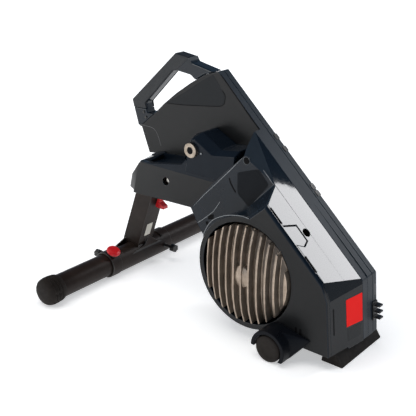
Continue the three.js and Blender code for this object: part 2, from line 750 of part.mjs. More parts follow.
// In front of the tray a low ridge rises to meet the belt case
function trayRidge() {
  const [frontX, frontZ] = armOutline[pointsBeforeTrayCount - 1];
  const ridgeX = trayStartX;
  const low = trayDepth + 2 * coverWall;
  return hullOf([
    [frontX + gap, armNearY + 2 * coverWall, frontZ],
    [ridgeX, armNearY + 2 * coverWall, armTrayZ(ridgeX)],
    [frontX + gap, armNearY + 2 * coverWall, frontZ - low],
    [ridgeX, armNearY + 2 * coverWall, armTrayZ(ridgeX) - low],
    [-armReachFront + ridgeFrontSetback, armFarY, frontZ - ridgeRise],
    [ridgeX, armFarY, armTrayZ(ridgeX) + ridgeRise],
    [-armReachFront + ridgeFrontSetback, armFarY, frontZ - ridgeRise - low],
    [ridgeX, armFarY, armTrayZ(ridgeX) - low],
  ]);
}

// Round the axle the near face rises to the dropout, as a flat panel with bevelled upper edges
function axleMound() {
  const crease = moundCreaseShares.map(armPlace);
  const foot = moundFootShares.map(armPlace);
  const rear = armPlace(moundRearShare);
  const slope = moundRise / (crease[0][1] - foot[0][1]);
  const front = ([x, z]) => [x, armNearY - slope * (z - foot[0][1]), z];
  const edge = ([x, z]) => [x, armNearY + armLean * (z - armLeanZ) / (armTopZ - armLeanZ), z];
  const behind = (points) => points.map(([x, z]) => [x, armNearY + armLean + coverWall, z]);
  const [edgeStart, edgeTurn] = [pointsBeforeTrayCount + 2, pointsBeforeTrayCount + 6];
  const left = armOutline.slice(edgeStart, edgeTurn + 1);
  const right = armOutline.slice(edgeTurn, edgeTurn + 2);
  const slim = (points) => inset(points, gap);
  const leftFront = [crease[0], crease[1], crease[2], foot[1], foot[0]];
  const rightFront = [crease[2], crease[3], rear, foot[2], foot[1]];
  return hullOf([...leftFront.map(front), ...left.map(edge), ...behind(slim(leftFront))])
    .add(hullOf([...rightFront.map(front), ...right.map(edge), ...behind(slim(rightFront))]));
}

function armCover() {
  const floorNear = armNearY + coverWall;
  const floor = block(-armReachFront - overrun, legPocketEndX, floorNear, armFarY + overrun,
    armBottomZ - overrun, armBottomZ + 3 * coverWall)
    .add(block(legCentreX + legWidthX, legPocketEndX, floorNear, armFarY + overrun,
      armBottomZ - overrun, armBottomZ + 5 * coverWall));
  return armBody(0)
    .add(trayRidge())
    .add(axleMound())
    .add(rod(0, axleHeight, adapterRadius, adapterLength + gap - axleSpacing / 2, leftPlateY))
    .subtract(armBody(coverWall))
    .subtract(floor)
    .subtract(neckGuard)
    .subtract(plateWay(leftPlateShares, leftPlateY, -armReachFront))
    .subtract(plateWay(armPlateShares, armPlateY, -armReachFront))
    .subtract(rod(pivotX, pivotZ, pivotRecessRadius, armNearY - overrun, armNearY + 2 * coverWall,
      smallSides))
    .subtract(rod(0, axleHeight, adapterRadius + gap, -axleSpacing / 2,
      adapterLength + gap - axleSpacing / 2))
    .subtract(rod(0, axleHeight, axleTubeRadius + gap, -axleSpacing / 2, leftPlateY));
}

function armNoseFar() {
  const body = (shrink) => {
    const far = noseFarY - shrink;
    const near = armFarY + gap - (shrink ? overrun : 0);
    return prism(inset(armOutline, shrink), near, far)
      .intersect(block(-armReachFront - overrun, noseEndX - shrink, near, far, armBottomZ - overrun,
        armTopZ));
  };
  const floor = block(-armReachFront - overrun, noseEndX - coverWall, armFarY - overrun,
    noseFarY - coverWall, armBottomZ - overrun, armBottomZ + 3 * coverWall);
  return body(0)
    .subtract(body(coverWall))
    .subtract(floor)
    .subtract(prism(inset(caseOutline, -gap), caseNearY - overrun, noseFarY + overrun));
}

// Handle
const handleLength = handleReach + handleEndX;
const handlePoints = (shares) => fromShares(shares, -handleReach, handleFootZ, handleLength, handleHeight);

function handlePieces() {
  const caseGuard = prism(inset(caseOutline, -gap), handleNearY - overrun, handleFarY + overrun);
  const envelope = prism(handlePoints(handleOutlineShares), handleNearY, handleFarY).subtract(caseGuard);
  const cut = handlePoints(gripCutShares);
  const cutNear = handleNearY - overrun;
  const cutFar = handleFarY + overrun;
  const barPoints = handlePoints(gripBarShares);
  const core = prism(barPoints, handleNearY + handleBarSide, handleFarY - handleBarSide);
  const pocket = prism(inset(barPoints, -gap), handleNearY + handleBarSide - gap,
    handleFarY - handleBarSide + gap);
  const frame = envelope.subtract(prism(cut, cutNear, cutFar)).add(core.intersect(envelope));
  const grip = envelope.intersect(prism(inset(cut, gap), cutNear, cutFar)).subtract(pocket);
  return { frame, grip };
}

// Finned housing: a shallow dome of fins over a smaller dome
function finnedHousing() {
  const dome = (radius, edgeY, crownY, backY) => {
    const steps = 4;
    const profile = [[0, crownY]];
    for (let i = 1; i <= steps; i += 1) {
      const share = i / steps;
      profile.push([radius * share, crownY + (edgeY - crownY) * share ** 3]);
    }
    profile.push([radius, backY], [0, backY]);
    return turned(unitX, unitZ, profile, roundSides);
  };
  const outer = dome(finRadius, finEdgeY, finCrownY, housingBackY);
  const inner = dome(finRadius - finThickness, finEdgeY + finValleyDepth, finCrownY + finValleyDepth,
    housingBackY);
  const fins = [];
  for (let i = 0; i < finCount; i += 1) {
    const x = unitX + finFirst + i * finPitch;
    fins.push(block(x - finThickness / 2, x + finThickness / 2, finCrownY - overrun, housingBackY,
      unitZ - unitCaseRadius, unitZ + unitCaseRadius));
  }
  const shoulder = block(unitX + finFirst + finCount * finPitch, unitX + unitCaseRadius,
    finCrownY - overrun, housingBackY, unitZ - unitCaseRadius, unitZ + unitCaseRadius);
  fins.push(shoulder);
  const crown = (finCrownY + finValleyDepth);
  const boss = turned(unitX, unitZ, [[0, crown], [finBossRadius, crown],
    [finBossRadius * 0.92, crown - finValleyDepth / 2], [finBossRadius / 2, crown - finValleyDepth * 0.75],
    [0, crown - finValleyDepth * 0.8]].reverse(), smallSides);
  return join([inner, boss, outer.intersect(join(fins))])
    .subtract(rod(unitX, unitZ, chamberRadius, chamberFrontY, housingBackY + overrun))
    .subtract(rod(unitX, unitZ, shaftRadius + runningGap, shaftNearY - runningGap, housingBackY));
}

function backHousing() {
  const posts = postAngles.map((degrees) => {
    const angle = THREE.MathUtils.degToRad(degrees);
    return rod(unitX + postCircle * Math.cos(angle), unitZ + postCircle * Math.sin(angle), postRadius,
      backHousingY - overrun, leftPlateY - gap, smallSides);
  });
  return ring(unitX, unitZ, housingRadius, shaftRadius + runningGap + 3 * coverWall,
    housingBackY + gap, backHousingY).add(join(posts));
}

// A loop of belt round two pulleys, as an outline
function loopOutline(x0, z0, r0, x1, z1, r1) {
  const heading = THREE.MathUtils.radToDeg(Math.atan2(z1 - z0, x1 - x0));
  const spread = THREE.MathUtils.radToDeg(Math.acos((r0 - r1) / Math.hypot(x1 - x0, z1 - z0)));
  return [
    ...arc(x0, z0, r0, heading + spread, heading + 360 - spread, 28),
    ...arc(x1, z1, r1, heading - spread, heading + spread, 10),
  ];
}

function belt() {
  const loop = (grow) => loopOutline(0, axleHeight, bigPulleyRadius + grow, unitX, unitZ,
    smallPulleyRadius + grow);
  return prism(loop(gap + beltThickness), beltNearY, beltFarY)
    .subtract(prism(loop(gap), beltNearY - overrun, beltFarY + overrun));
}

function bigPulley() {
  const middle = (beltNearY + beltFarY) / 2;
  const hub = rod(0, axleHeight, pulleyHubRadius, beltNearY, pulleyHubFarY);
  const web = rod(0, axleHeight, bigPulleyRadius - pulleyRim / 2, middle - pulleyWeb / 2,
    middle + pulleyWeb / 2);
  const rim = ring(0, axleHeight, bigPulleyRadius, bigPulleyRadius - pulleyRim, beltNearY, beltFarY,
    2 * smallSides);
  const windows = Array.from({ length: pulleyWindowCount }, (unused, i) => {
    const angle = THREE.MathUtils.degToRad(360 * i / pulleyWindowCount);
    const radius = (bigPulleyRadius + pulleyHubRadius) / 2;
    return rod(radius * Math.cos(angle), axleHeight + radius * Math.sin(angle),
      (bigPulleyRadius - pulleyHubRadius) / 4, beltNearY - overrun, beltFarY + overrun, smallSides);
  });
  return join([hub, web, rim]).subtract(join(windows))
    .subtract(rod(0, axleHeight, hubBearingRadius + gap, beltNearY - overrun, pulleyHubFarY + overrun));
}

function freehub() {
  const body = ring(0, axleHeight, freehubRadius, freehubBoreRadius, freehubNearY, freehubFarY);
  const grooves = Array.from({ length: splineCount }, (unused, i) => {
    const angle = THREE.MathUtils.degToRad(360 * i / splineCount);
    const cutter = new THREE.BoxGeometry(2 * splineDepth, freehubFarY - freehubNearY, splineWidth);
    cutter.translate(freehubRadius, (freehubNearY + freehubFarY) / 2 + splineDepth, 0);
    cutter.rotateY(angle);
    cutter.translate(0, 0, axleHeight);
    return solidOf(cutter);
  });
  return body.subtract(join(grooves));
}

function adapter(side) {
  const face = side * axleSpacing / 2;
  const shoulder = face - side * adapterLength;
  const end = shoulder - side * adapterSpigot;
  const span = (a, b) => [Math.min(a, b), Math.max(a, b)];
  return rod(0, axleHeight, adapterRadius, ...span(face, shoulder))
    .add(rod(0, axleHeight, axleTubeRadius - axleTubeWall - gap, ...span(shoulder, end)))
    .subtract(rod(0, axleHeight, adapterBoreRadius, ...span(face + side * overrun, end - side * overrun),
      smallSides));
}

function impeller() {
  const vanes = Array.from({ length: vaneCount }, (unused, i) => {
    const vane = new THREE.BoxGeometry(impellerRadius - 3 * shaftRadius, vaneHeight, vaneWidth);
    vane.translate((impellerRadius + 2 * shaftRadius) / 2, impellerFarY + vaneHeight / 2 - gap, 0);
    vane.rotateY(THREE.MathUtils.degToRad(360 * i / vaneCount));
    vane.translate(unitX, 0, unitZ);
    return solidOf(vane);
  });
  return rod(unitX, unitZ, impellerRadius, impellerNearY, impellerFarY)
    .add(join(vanes))
    .subtract(rod(unitX, unitZ, shaftRadius + gap, impellerNearY - overrun, impellerFarY + 2 * vaneHeight,
      smallSides));
}

// Frame
const plate = (shares) => fromShares(shares, -plateFrontReach, crossBarTopZ,
  caseReachRear - plateRearSetback + plateFrontReach, axleHeight + plateRise - crossBarTopZ);

// Plates stay inside the arm cover and the unit cover
const plateSpace = armBody(coverWall + gap)
  .add(prism(inset(neckOutline, coverWall + gap), neckNearY, caseNearY))
  .add(plateWay(leftPlateShares, leftPlateY, neckOutline[0][0]))
  .add(plateWay(unitPlateShares, unitPlateY, neckOutline[0][0]));

function plateWay(shares, nearY, fromX) {
  return prism(inset(plate(shares), -plateRoom), nearY - plateRoom, nearY + plateThickness + plateRoom)
    .intersect(block(fromX, caseReachRear, neckNearY, caseNearY, 0, axleHeight));
}

function framePlate(shares, nearY) {
  const tool = (x, z, radius) => rod(x, z, radius + gap, nearY - overrun,
    nearY + plateThickness + overrun, smallSides);
  return prism(plate(shares), nearY, nearY + plateThickness)
    .subtract(tool(0, axleHeight, axleTubeRadius))
    .subtract(tool(pivotX, pivotZ, pivotBoltRadius))
    .subtract(tool(unitX, unitZ, unitBearingRadius))
    .intersect(plateSpace)
    .subtract(prism(inset(neckOutline, -plateRoom), caseLowNearY - plateRoom, caseNearY + overrun));
}

// Leg
const tubeZ = capRadius;
const leanAngle = THREE.MathUtils.degToRad(legLean);
const legX = (z) => legCentreX + (z - legCentreZ) * Math.tan(leanAngle);
const legHalfX = legWidthX / 2 / Math.cos(leanAngle);
const legRearX = (z) => legX(z) + legHalfX;

function legBox(shrink, fromZ, toZ) {
  const half = legHalfX - shrink;
  return prism([
    [legX(fromZ) - half, fromZ],
    [legX(toZ) - half, toZ],
    [legX(toZ) + half, toZ],
    [legX(fromZ) + half, fromZ],
  ], shrink - legWidthY / 2, legWidthY / 2 - shrink);
}

// An upright plate that widens from one face of the leg down to the saddle
function web(shares, x0, x1) {
  const outline = fromShares(shares, 0, webFootZ, -mouthNearY, webTopZ - webFootZ);
  const shape = new THREE.Shape(outline.map(([y, z]) => new THREE.Vector2(y, z)));
  const geometry = new THREE.ExtrudeGeometry(shape, { depth: x1 - x0, bevelEnabled: false });
  geometry.rotateX(Math.PI / 2);
  geometry.rotateZ(Math.PI / 2);
  geometry.translate(x0, 0, 0);
  return solidOf(geometry);
}

function legLug() {
  const headFrontX = legX(legHeadZ) - legHalfX;
  const outline = fromShares(lugShares, headFrontX, legHeadZ, pivotX - headFrontX, pivotZ - legHeadZ);
  const link = [
    [legX(legHeadZ), legHeadZ + lugRadius],
    [pivotX, pivotZ + lugRadius],
    [pivotX, pivotZ - lugRadius],
    [legRearX(legHeadZ), legHeadZ - lugRadius / 2],
  ];
  return join([
    prism(outline, lugNearY, lugFarY),
    prism(link, lugNearY, lugFarY),
    rod(pivotX, pivotZ, lugRadius, lugNearY, lugFarY, smallSides),
  ]);
}

function legBracket() {
  const sleeve = rod(tubeX, tubeZ, saddleRadius, saddleNearY, saddleFarY)
    .add(rod(tubeX, tubeZ, saddleCollarRadius, saddleNearY, saddleNearY + saddleCollarLength));
  const mouth = (y0, y1) => block(tubeX - saddleMouth, tubeX + saddleMouth, y0, y1, tubeZ,
    tubeZ + 2 * saddleRadius);
  const frontX = legX(webTopZ) - legHalfX;
  const rearX = legRearX(webTopZ);
  return join([
    sleeve.subtract(mouth(mouthNearY, -legWidthY / 2)).subtract(mouth(legWidthY / 2, mouthFarY)),
    web(webFrontShares, frontX - webThickness / 2, frontX + webThickness / 2),
    web(webRearShares, rearX - webThickness, rearX),
    legBox(0, webFootZ, legHeadZ).subtract(legBox(legWall, webTopZ, legHeadZ + overrun)),
    legLug(),
    latchEar(latchNearY - gap - latchEarThickness),
    latchEar(latchFarY + gap),
  ])
    .subtract(rod(tubeX, tubeZ, tubeRadius + gap, saddleNearY - overrun, saddleFarY + overrun))
    .subtract(rod(pivotX, pivotZ, pivotBoltRadius + gap, lugNearY - overrun, lugFarY + overrun))
    .subtract(screwHole(screwFrontY, -1))
    .subtract(screwHole(screwRearY, 1))
    .subtract(rod(latchPinX, latchPinZ, latchPinRadius + gap, latchNearY - legWidthY,
      latchFarY + legWidthY, smallSides))
    .subtract(plungerBar(plungerPinRadius + gap, tubeRadius - overrun, saddleCollarRadius + overrun));
}

// Thumb screws lie level, one in front and one behind
const screwSpan = (side, from, to) => {
  const ends = [tubeX + side * from, tubeX + side * to];
  return [Math.min(...ends), Math.max(...ends)];
};

function levelBar(y, side, from, to, radius, sides = smallSides) {
  const [x0, x1] = screwSpan(side, from, to);
  return bar([x0, y, tubeZ], [x1, y, tubeZ], radius, sides);
}

function screwHole(y, side) {
  return levelBar(y, side, tubeRadius - overrun, saddleRadius + overrun, thumbShaftRadius + gap);
}

const washerStart = saddleRadius + gap;
const thumbStart = washerStart + thumbShaftLength;

function thumbShaft(y, side) {
  return levelBar(y, side, tubeRadius + gap, thumbStart + thumbKnobLength / 2, thumbShaftRadius)
    .add(levelBar(y, side, washerStart, washerStart + washerThickness, washerRadius));
}

function thumbKnob(y, side) {
  const lobeCircle = thumbKnobRadius * 1.1;
  const lobes = Array.from({ length: thumbLobeCount }, (unused, i) => {
    const angle = THREE.MathUtils.degToRad(360 * i / thumbLobeCount);
    return levelBar(y, side, thumbStart - overrun, thumbStart + thumbKnobLength + overrun,
      thumbKnobRadius / 4, grooveSides)
      .translate([0, lobeCircle * Math.cos(angle), lobeCircle * Math.sin(angle)]);
  });
  return levelBar(y, side, thumbStart, thumbStart + thumbKnobLength, thumbKnobRadius, knobSides)
    .subtract(join(lobes))
    .subtract(levelBar(y, side, thumbStart - overrun, thumbStart + thumbKnobLength / 2 + gap,
      thumbShaftRadius + gap));
}

function tubeEndCap(side) {
  const inner = capFaceY - capLength;
  const profile = [[tubeRadius + gap, inner], [capRadius, inner]];
  const pitch = (capLength * 0.75) / capGrooveCount;
  for (let i = 0; i < capGrooveCount; i += 1) {
    const start = inner + pitch * (i + 0.6);
    profile.push([capRadius, start], [capRadius - capGrooveDepth, start + capGrooveWidth / 2],
      [capRadius, start + capGrooveWidth]);
  }
  const edge = capWall;
  profile.push([capRadius, capFaceY - edge], [capRadius - edge / 2, capFaceY - edge / 3],
    [capRadius - 1.5 * edge, capFaceY], [0, capFaceY], [0, tubeHalfLength + gap],
    [tubeRadius + gap, tubeHalfLength + gap], [tubeRadius + gap, inner]);
  const cap = turned(tubeX, 0, profile, capSides);
  const placed = side > 0 ? cap : cap.mirror([0, 1, 0]);
  return placed.translate([0, 0, tubeZ]);
}

function legTube() {
  return ring(tubeX, tubeZ, tubeRadius, tubeRadius - tubeWall, -tubeHalfLength, tubeHalfLength)
    .subtract(plungerBar(plungerPinRadius + gap, tubeRadius - 2 * overrun, tubeRadius + overrun));
}

// The plunger stands square on the saddle, leaning to the rear over a hole in the tube
const plungerAngle = THREE.MathUtils.degToRad(plungerLean);
const plungerAt = (distance) => [tubeX + distance * Math.sin(plungerAngle), plungerY,
  tubeZ + distance * Math.cos(plungerAngle)];
const collarTop = saddleCollarRadius + gap + collarHeight;
const knobBase = collarTop + plungerLift;

function plungerBar(radius, from, to) {
  return bar(plungerAt(from), plungerAt(to), radius);
}

function plungerCollar() {
  return plungerBar(collarRadius, saddleRadius - 2 * collarHeight, collarTop)
    .subtract(rod(tubeX, tubeZ, saddleCollarRadius + gap, plungerY - 2 * collarRadius,
      plungerY + 2 * collarRadius))
    .subtract(plungerBar(plungerPinRadius + gap, tubeRadius, collarTop + overrun));
}

function plungerKnob() {
  const profile = [[0, 0], [plungerRadius * 0.8, 0], [plungerRadius, plungerHeight * 0.3],
    [plungerRadius, plungerHeight * 0.55], [plungerRadius * 0.82, plungerHeight * 0.88],
    [plungerRadius * 0.45, plungerHeight], [0, plungerHeight]];
  const geometry = new THREE.LatheGeometry(profile.map(([r, y]) => new THREE.Vector2(r, y)), knobSides);
  geometry.rotateX(Math.PI / 2);
  geometry.rotateY(plungerAngle);
  geometry.translate(...plungerAt(knobBase));
  return solidOf(geometry)
    .subtract(plungerBar(plungerPinRadius + gap, knobBase - overrun, knobBase + plungerHeight / 2));
}

function plungerPin() {
  return plungerBar(plungerPinRadius, tubeRadius + gap, knobBase + plungerHeight / 2 - gap);
}

// Latch lever on the rear face of the leg, held by two ears
const latchPinX = legRearX(latchPinZ) + latchSeat + latchThickness / 2;

function latchEar(nearY) {
  const half = latchPinRadius + latchEarThickness;
  return prism([
    [legX(latchPinZ - half) + legHalfX - legWall / 2, latchPinZ - half],
    [latchPinX + half, latchPinZ - half],
    [latchPinX + half, latchPinZ + half],
    [legX(latchPinZ + half) + legHalfX - legWall / 2, latchPinZ + half],
  ], nearY, nearY + latchEarThickness);
}

function latchLever() {
  const topZ = latchPinZ + latchRise;
  const lowZ = latchPinZ - latchDrop;
  const bendZ = lowZ + latchThickness * 1.5;
  const inner = (z) => legRearX(z) + latchSeat;
  const outer = (z) => inner(z) + latchThickness;
  const points = [
    [inner(lowZ), lowZ],
    [inner(latchPinZ), latchPinZ],
    [inner(topZ) + latchThickness / 4, topZ],
    [outer(topZ), topZ],
    [outer(bendZ), bendZ],
    [outer(lowZ) + latchToe, lowZ + latchThickness / 2],
    [outer(lowZ) + latchToe, lowZ - latchThickness / 3],
    [outer(lowZ) - latchThickness / 3, lowZ - latchThickness / 3],
  ];
  return prism(points, latchNearY, latchFarY)
    .subtract(rod(latchPinX, latchPinZ, latchPinRadius + gap, latchNearY - overrun,
      latchFarY + overrun, smallSides));
}

// Roller beside the foot
function rollerWheel() {
  const edge = coverWall;
  return turned(rollerX, rollerRadius, [
    [rollerPinRadius + gap, rollerNearY + rollerRecess],
    [rollerRecessRadius, rollerNearY + rollerRecess],
    [rollerRecessRadius, rollerNearY],
    [rollerRadius - edge, rollerNearY],
    [rollerRadius, rollerNearY + edge],
    [rollerRadius, rollerFarY],
    [rollerPinRadius + gap, rollerFarY],
    [rollerPinRadius + gap, rollerNearY + rollerRecess],
  ]);
}

function rollerPin() {
  const headFarY = rollerNearY + rollerRecess - gap;
  return rod(rollerX, rollerRadius, rollerPinRadius, headFarY - gap, unitNearY - gap, smallSides)
    .add(rod(rollerX, rollerRadius, rollerPinRadius * 1.6, headFarY - rollerRecess / 2, headFarY,
      smallSides));
}

function rollerHood() {
  const far = unitNearY - gap;
  const [wingStart, wingEnd] = [(hoodNearY + far) / 2, far];
  const barrel = arc(rollerX, rollerRadius, hoodRadius - gap, 0, 360 - 360 / smallSides, smallSides);
  const wing = hullOf([
    ...barrel.map(([x, z]) => [x, wingStart, z]),
    ...barrel.map(([x, z]) => [x, wingEnd, z]),
    [rollerX + hoodWingReach, wingEnd, hoodWingTopZ],
    [rollerX + hoodWingFootReach, wingEnd, hoodWingFootZ],
    [rollerX + hoodHeelReach, wingEnd, hoodHeelZ],
  ]);
  const outer = rod(rollerX, rollerRadius, hoodRadius, hoodNearY, far).add(wing);
  const inner = rod(rollerX, rollerRadius, hoodBoreRadius, hoodNearY - overrun, far - coverWall);
  return outer.subtract(inner)
    .subtract(rod(rollerX, rollerRadius, rollerPinRadius + gap, hoodNearY, far + overrun, smallSides))
    .subtract(block(rollerX - 2 * hoodRadius, rollerX + 2 * hoodRadius, hoodNearY - overrun,
      far + overrun, -hoodRadius, hoodBottomZ))
    .subtract(block(rollerX - 2 * hoodRadius, rollerX - hoodBoreRadius / 2, hoodNearY - overrun,
      far - coverWall, -hoodRadius, hoodFrontZ));
}

function rearFoot() {
  const topZ = caseBottomZ - gap;
  return prism([
    [footFrontX, 0],
    [footRearX, 0],
    [footTopRearX, topZ],
    [footTopFrontX, topZ],
  ], footNearY, footFarY)
    .subtract(block(crossBarFrontX - gap, crossBarRearX + gap, crossBarNearY - gap,
      crossBarFarY + gap, crossBarBottomZ - gap, topZ + overrun))
    .subtract(plateWay(leftPlateShares, leftPlateY, boxTopX))
    .subtract(plateWay(unitPlateShares, unitPlateY, boxTopX));
}

function rearLouvre() {
  const plateOf = (low, high, reach, near) => prism([
    [rearX(low) + gap, low],
    [rearX(low) + reach, low],
    [rearX(high) + reach, high],
    [rearX(high) + gap, high],
  ], near, louvreFarY);
  const fins = Array.from({ length: louvreCount }, (unused, i) => {
    const z = louvreBottomZ + louvreHeight * (i + 0.5) / louvreCount;
    return plateOf(z - louvreThickness / 2, z + louvreThickness / 2, louvreBase + louvreReach,
      louvreNearY);
  });
  return plateOf(louvreBottomZ, louvreBottomZ + louvreHeight, louvreBase, louvreNearY - louvreBase)
    .add(join(fins));
}

// Idler on the back of the belt's upper run
function idlerPlace() {
  const span = Math.hypot(unitX, unitZ - axleHeight);
  const along = [unitX / span, (unitZ - axleHeight) / span];
  const lean = Math.asin((bigPulleyRadius - smallPulleyRadius) / span);
  const out = [-along[1] * Math.cos(lean) + along[0] * Math.sin(lean),
    along[0] * Math.cos(lean) + along[1] * Math.sin(lean)];
  const radius = bigPulleyRadius + (smallPulleyRadius - bigPulleyRadius) * idlerShare
    + 2 * gap + beltThickness + idlerRadius;
  return [along[0] * span * idlerShare + out[0] * radius,
    axleHeight + along[1] * span * idlerShare + out[1] * radius];
}

// Everything that stands still
add('belt_cover_near', 'panel', beltCoverNear());
add('belt_cover_far', 'gloss', beltCoverFar());
const shell = unitShell();
add('unit_cover_near', 'panel', shell.intersect(seamTool(-seamWidth / 2)));
add('unit_cover_rear', 'gloss', shell.subtract(seamTool(seamWidth / 2)));
add('arm_cover', 'panel', armCover());
add('arm_nose_far', 'gloss', armNoseFar());
const handle = handlePieces();
add('handle_frame', 'gloss', handle.frame);
add('handle_grip', 'softGrip', handle.grip);
add('finned_housing', 'castAluminium', finnedHousing());
add('back_housing', 'castAluminium', backHousing());
add('frame_plate_left', 'darkSteel', framePlate(leftPlateShares, leftPlateY));
add('arm_plate_right', 'darkSteel', framePlate(armPlateShares, armPlateY));
add('unit_plate_right', 'darkSteel', framePlate(unitPlateShares, unitPlateY));
add('cross_bar', 'darkSteel', block(crossBarFrontX, crossBarRearX, crossBarNearY, crossBarFarY,
  crossBarBottomZ, crossBarTopZ));
add('rear_foot', 'rubber', rearFoot());
add('roller_hood', 'panel', rollerHood());
add('roller_pin', 'brightSteel', rollerPin());
add('rear_louvre', 'blackPlastic', rearLouvre());
add('axle_tube', 'machined', ring(0, axleHeight, axleTubeRadius, axleTubeRadius - axleTubeWall,
  -axleSpacing / 2 + adapterLength + gap, axleSpacing / 2 - adapterLength - gap));
add('axle_adapter_left', 'brightSteel', adapter(-1));
add('axle_adapter_right', 'brightSteel', adapter(1));
const bearingPlaces = [
  ['hub_bearing_near', 0, axleHeight, hubBearingRadius, axleTubeRadius + gap, beltNearY + gap],
  ['hub_bearing_far', 0, axleHeight, hubBearingRadius, axleTubeRadius + gap,
    pulleyHubFarY - bearingWidth - gap],
  ['freehub_bearing_near', 0, axleHeight, freehubBoreRadius - gap, axleTubeRadius + gap,
    freehubNearY + gap],
  ['freehub_bearing_far', 0, axleHeight, freehubBoreRadius - gap, axleTubeRadius + gap,
    freehubFarY - bearingWidth - gap],
  ['unit_bearing_near', unitX, unitZ, unitBearingRadius, shaftRadius + gap, leftPlateY],
  ['unit_bearing_far', unitX, unitZ, unitBearingRadius, shaftRadius + gap, unitPlateY],
];
for (const [name, x, z, outer, inner, nearY] of bearingPlaces) {
  add(name, 'machined', ring(x, z, outer, inner, nearY, nearY + bearingWidth, smallSides));
}
add('shaft_seal', 'rubber', ring(unitX, unitZ, shaftRadius + runningGap + 3 * coverWall - gap,
  shaftRadius + gap, housingBackY + 2 * gap, backHousingY - gap, smallSides));
add('pivot_bolt', 'brightSteel', rod(pivotX, pivotZ, pivotBoltRadius, leftPlateY - gap,
  armPlateY + plateThickness + gap, smallSides)
  .add(rod(pivotX, pivotZ, pivotHeadRadius + pivotBoltRadius / 2, leftPlateY - plateThickness,
    leftPlateY - gap, hexSides)));
const spacerNames = ['spacer_front', 'spacer_boss', 'spacer_unit_upper', 'spacer_unit_lower'];
plate(spacerShares).forEach(([x, z], i) => {
  const farY = i < 2 ? armPlateY : unitPlateY;
  add(spacerNames[i], 'darkSteel', rod(x, z, spacerRadius, leftPlateY + plateThickness + gap,
    farY - gap, smallSides));
});
const [idlerX, idlerZ] = idlerPlace();
add('idler_pin', 'brightSteel', rod(idlerX, idlerZ, idlerPinRadius, caseLowNearY + coverWall + gap,
  beltFarY, smallSides));
add('belt', 'rubber', belt());

// Turning pieces
add('big_pulley', 'castAluminium', bigPulley());
add('freehub_body', 'machined', freehub());
add('unit_shaft', 'machined', rod(unitX, unitZ, shaftRadius, shaftNearY, shaftFarY, smallSides));
add('small_pulley', 'machined', ring(unitX, unitZ, smallPulleyRadius, shaftRadius + gap, beltNearY,
  beltFarY, 2 * smallSides));
add('flywheel', 'darkSteel', ring(unitX, unitZ, flywheelRadius, shaftRadius + gap, flywheelNearY,
  flywheelFarY));
add('impeller', 'bronze', impeller());
add('idler_roller', 'blackPlastic', ring(idlerX, idlerZ, idlerRadius, idlerPinRadius + gap, beltNearY,
  beltFarY, smallSides));
add('roller_wheel', 'rubber', rollerWheel());

// Front leg and what it carries
add('leg_bracket', 'darkSteel', legBracket());
add('leg_tube', 'darkSteel', legTube());
add('end_cap_near', 'rubber', tubeEndCap(-1));
add('end_cap_far', 'rubber', tubeEndCap(1));
add('plunger_collar', 'blackPlastic', plungerCollar());
add('plunger_knob', 'redPlastic', plungerKnob());
add('plunger_pin', 'brightSteel', plungerPin());
for (const [name, y, side] of [['rear', screwRearY, 1], ['front', screwFrontY, -1]]) {
  add(`thumb_knob_${name}`, 'blackPlastic', thumbKnob(y, side));
  add(`thumb_shaft_${name}`, 'brightSteel', thumbShaft(y, side));
}
add('latch_lever', 'redPlastic', latchLever());
add('latch_pin', 'brightSteel', rod(latchPinX, latchPinZ, latchPinRadius,
  latchNearY - gap - latchEarThickness, latchFarY + gap + latchEarThickness, smallSides));

// Handle screws
const handleScrewNames = ['handle_screw_upper', 'handle_screw_lower'];
handlePoints(handleScrewShares).forEach(([x, z], i) => {
  add(handleScrewNames[i], 'brightSteel', rod(x, z, handleScrewRadius,
    handleNearY - gap - handleScrewHead, handleNearY - gap, smallSides));
});

// The origin goes under the middle of the box
const box = new THREE.Box3().setFromObject(model);
const middle = box.getCenter(new THREE.Vector3());
model.position.set(-middle.x, -middle.y, -box.min.z);
model.updateMatrixWorld(true);

export default model;
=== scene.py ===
"""Looks of the direct drive trainer: refined pieces, procedural finishes, studio light and camera.

Lengths are millimetres unless a line says metres: x counts from the axle to the rear, y from the bike's
middle to the drive side, z from the floor. at() turns such a place into the frame's metres.
"""

import json
import math
from itertools import combinations

import bmesh
import bpy
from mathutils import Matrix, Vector
from mathutils.bvhtree import BVHTree


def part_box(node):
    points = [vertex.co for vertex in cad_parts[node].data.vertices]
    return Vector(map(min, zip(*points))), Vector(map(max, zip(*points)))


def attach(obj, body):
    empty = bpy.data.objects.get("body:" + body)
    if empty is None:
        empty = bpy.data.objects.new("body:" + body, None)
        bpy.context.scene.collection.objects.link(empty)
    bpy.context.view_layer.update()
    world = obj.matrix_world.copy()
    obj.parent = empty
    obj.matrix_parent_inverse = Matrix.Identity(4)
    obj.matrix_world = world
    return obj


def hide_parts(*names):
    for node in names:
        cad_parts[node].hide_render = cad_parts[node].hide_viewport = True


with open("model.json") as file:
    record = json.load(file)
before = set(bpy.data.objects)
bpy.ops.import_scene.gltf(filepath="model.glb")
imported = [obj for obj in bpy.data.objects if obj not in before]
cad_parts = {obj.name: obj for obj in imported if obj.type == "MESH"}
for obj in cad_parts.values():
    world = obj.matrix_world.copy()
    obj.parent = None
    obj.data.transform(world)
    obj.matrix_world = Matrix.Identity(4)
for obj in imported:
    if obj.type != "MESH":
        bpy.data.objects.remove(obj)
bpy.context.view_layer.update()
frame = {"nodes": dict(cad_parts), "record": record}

nodes = frame["nodes"]
record = frame["record"]
body_of = {node: body for body, members in record["behaviour"]["bodies"].items() for node in members}
slot_of = {part["node"]: part["material_slot"] for part in record["subparts"]}

MM = 0.001
axle_low, axle_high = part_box("axle_tube")
AXLE_X = (axle_low.x + axle_high.x) / 2


def at(x, y, z):
    """A place in the frame's metres."""
    return Vector((AXLE_X + x * MM, y * MM, z * MM))


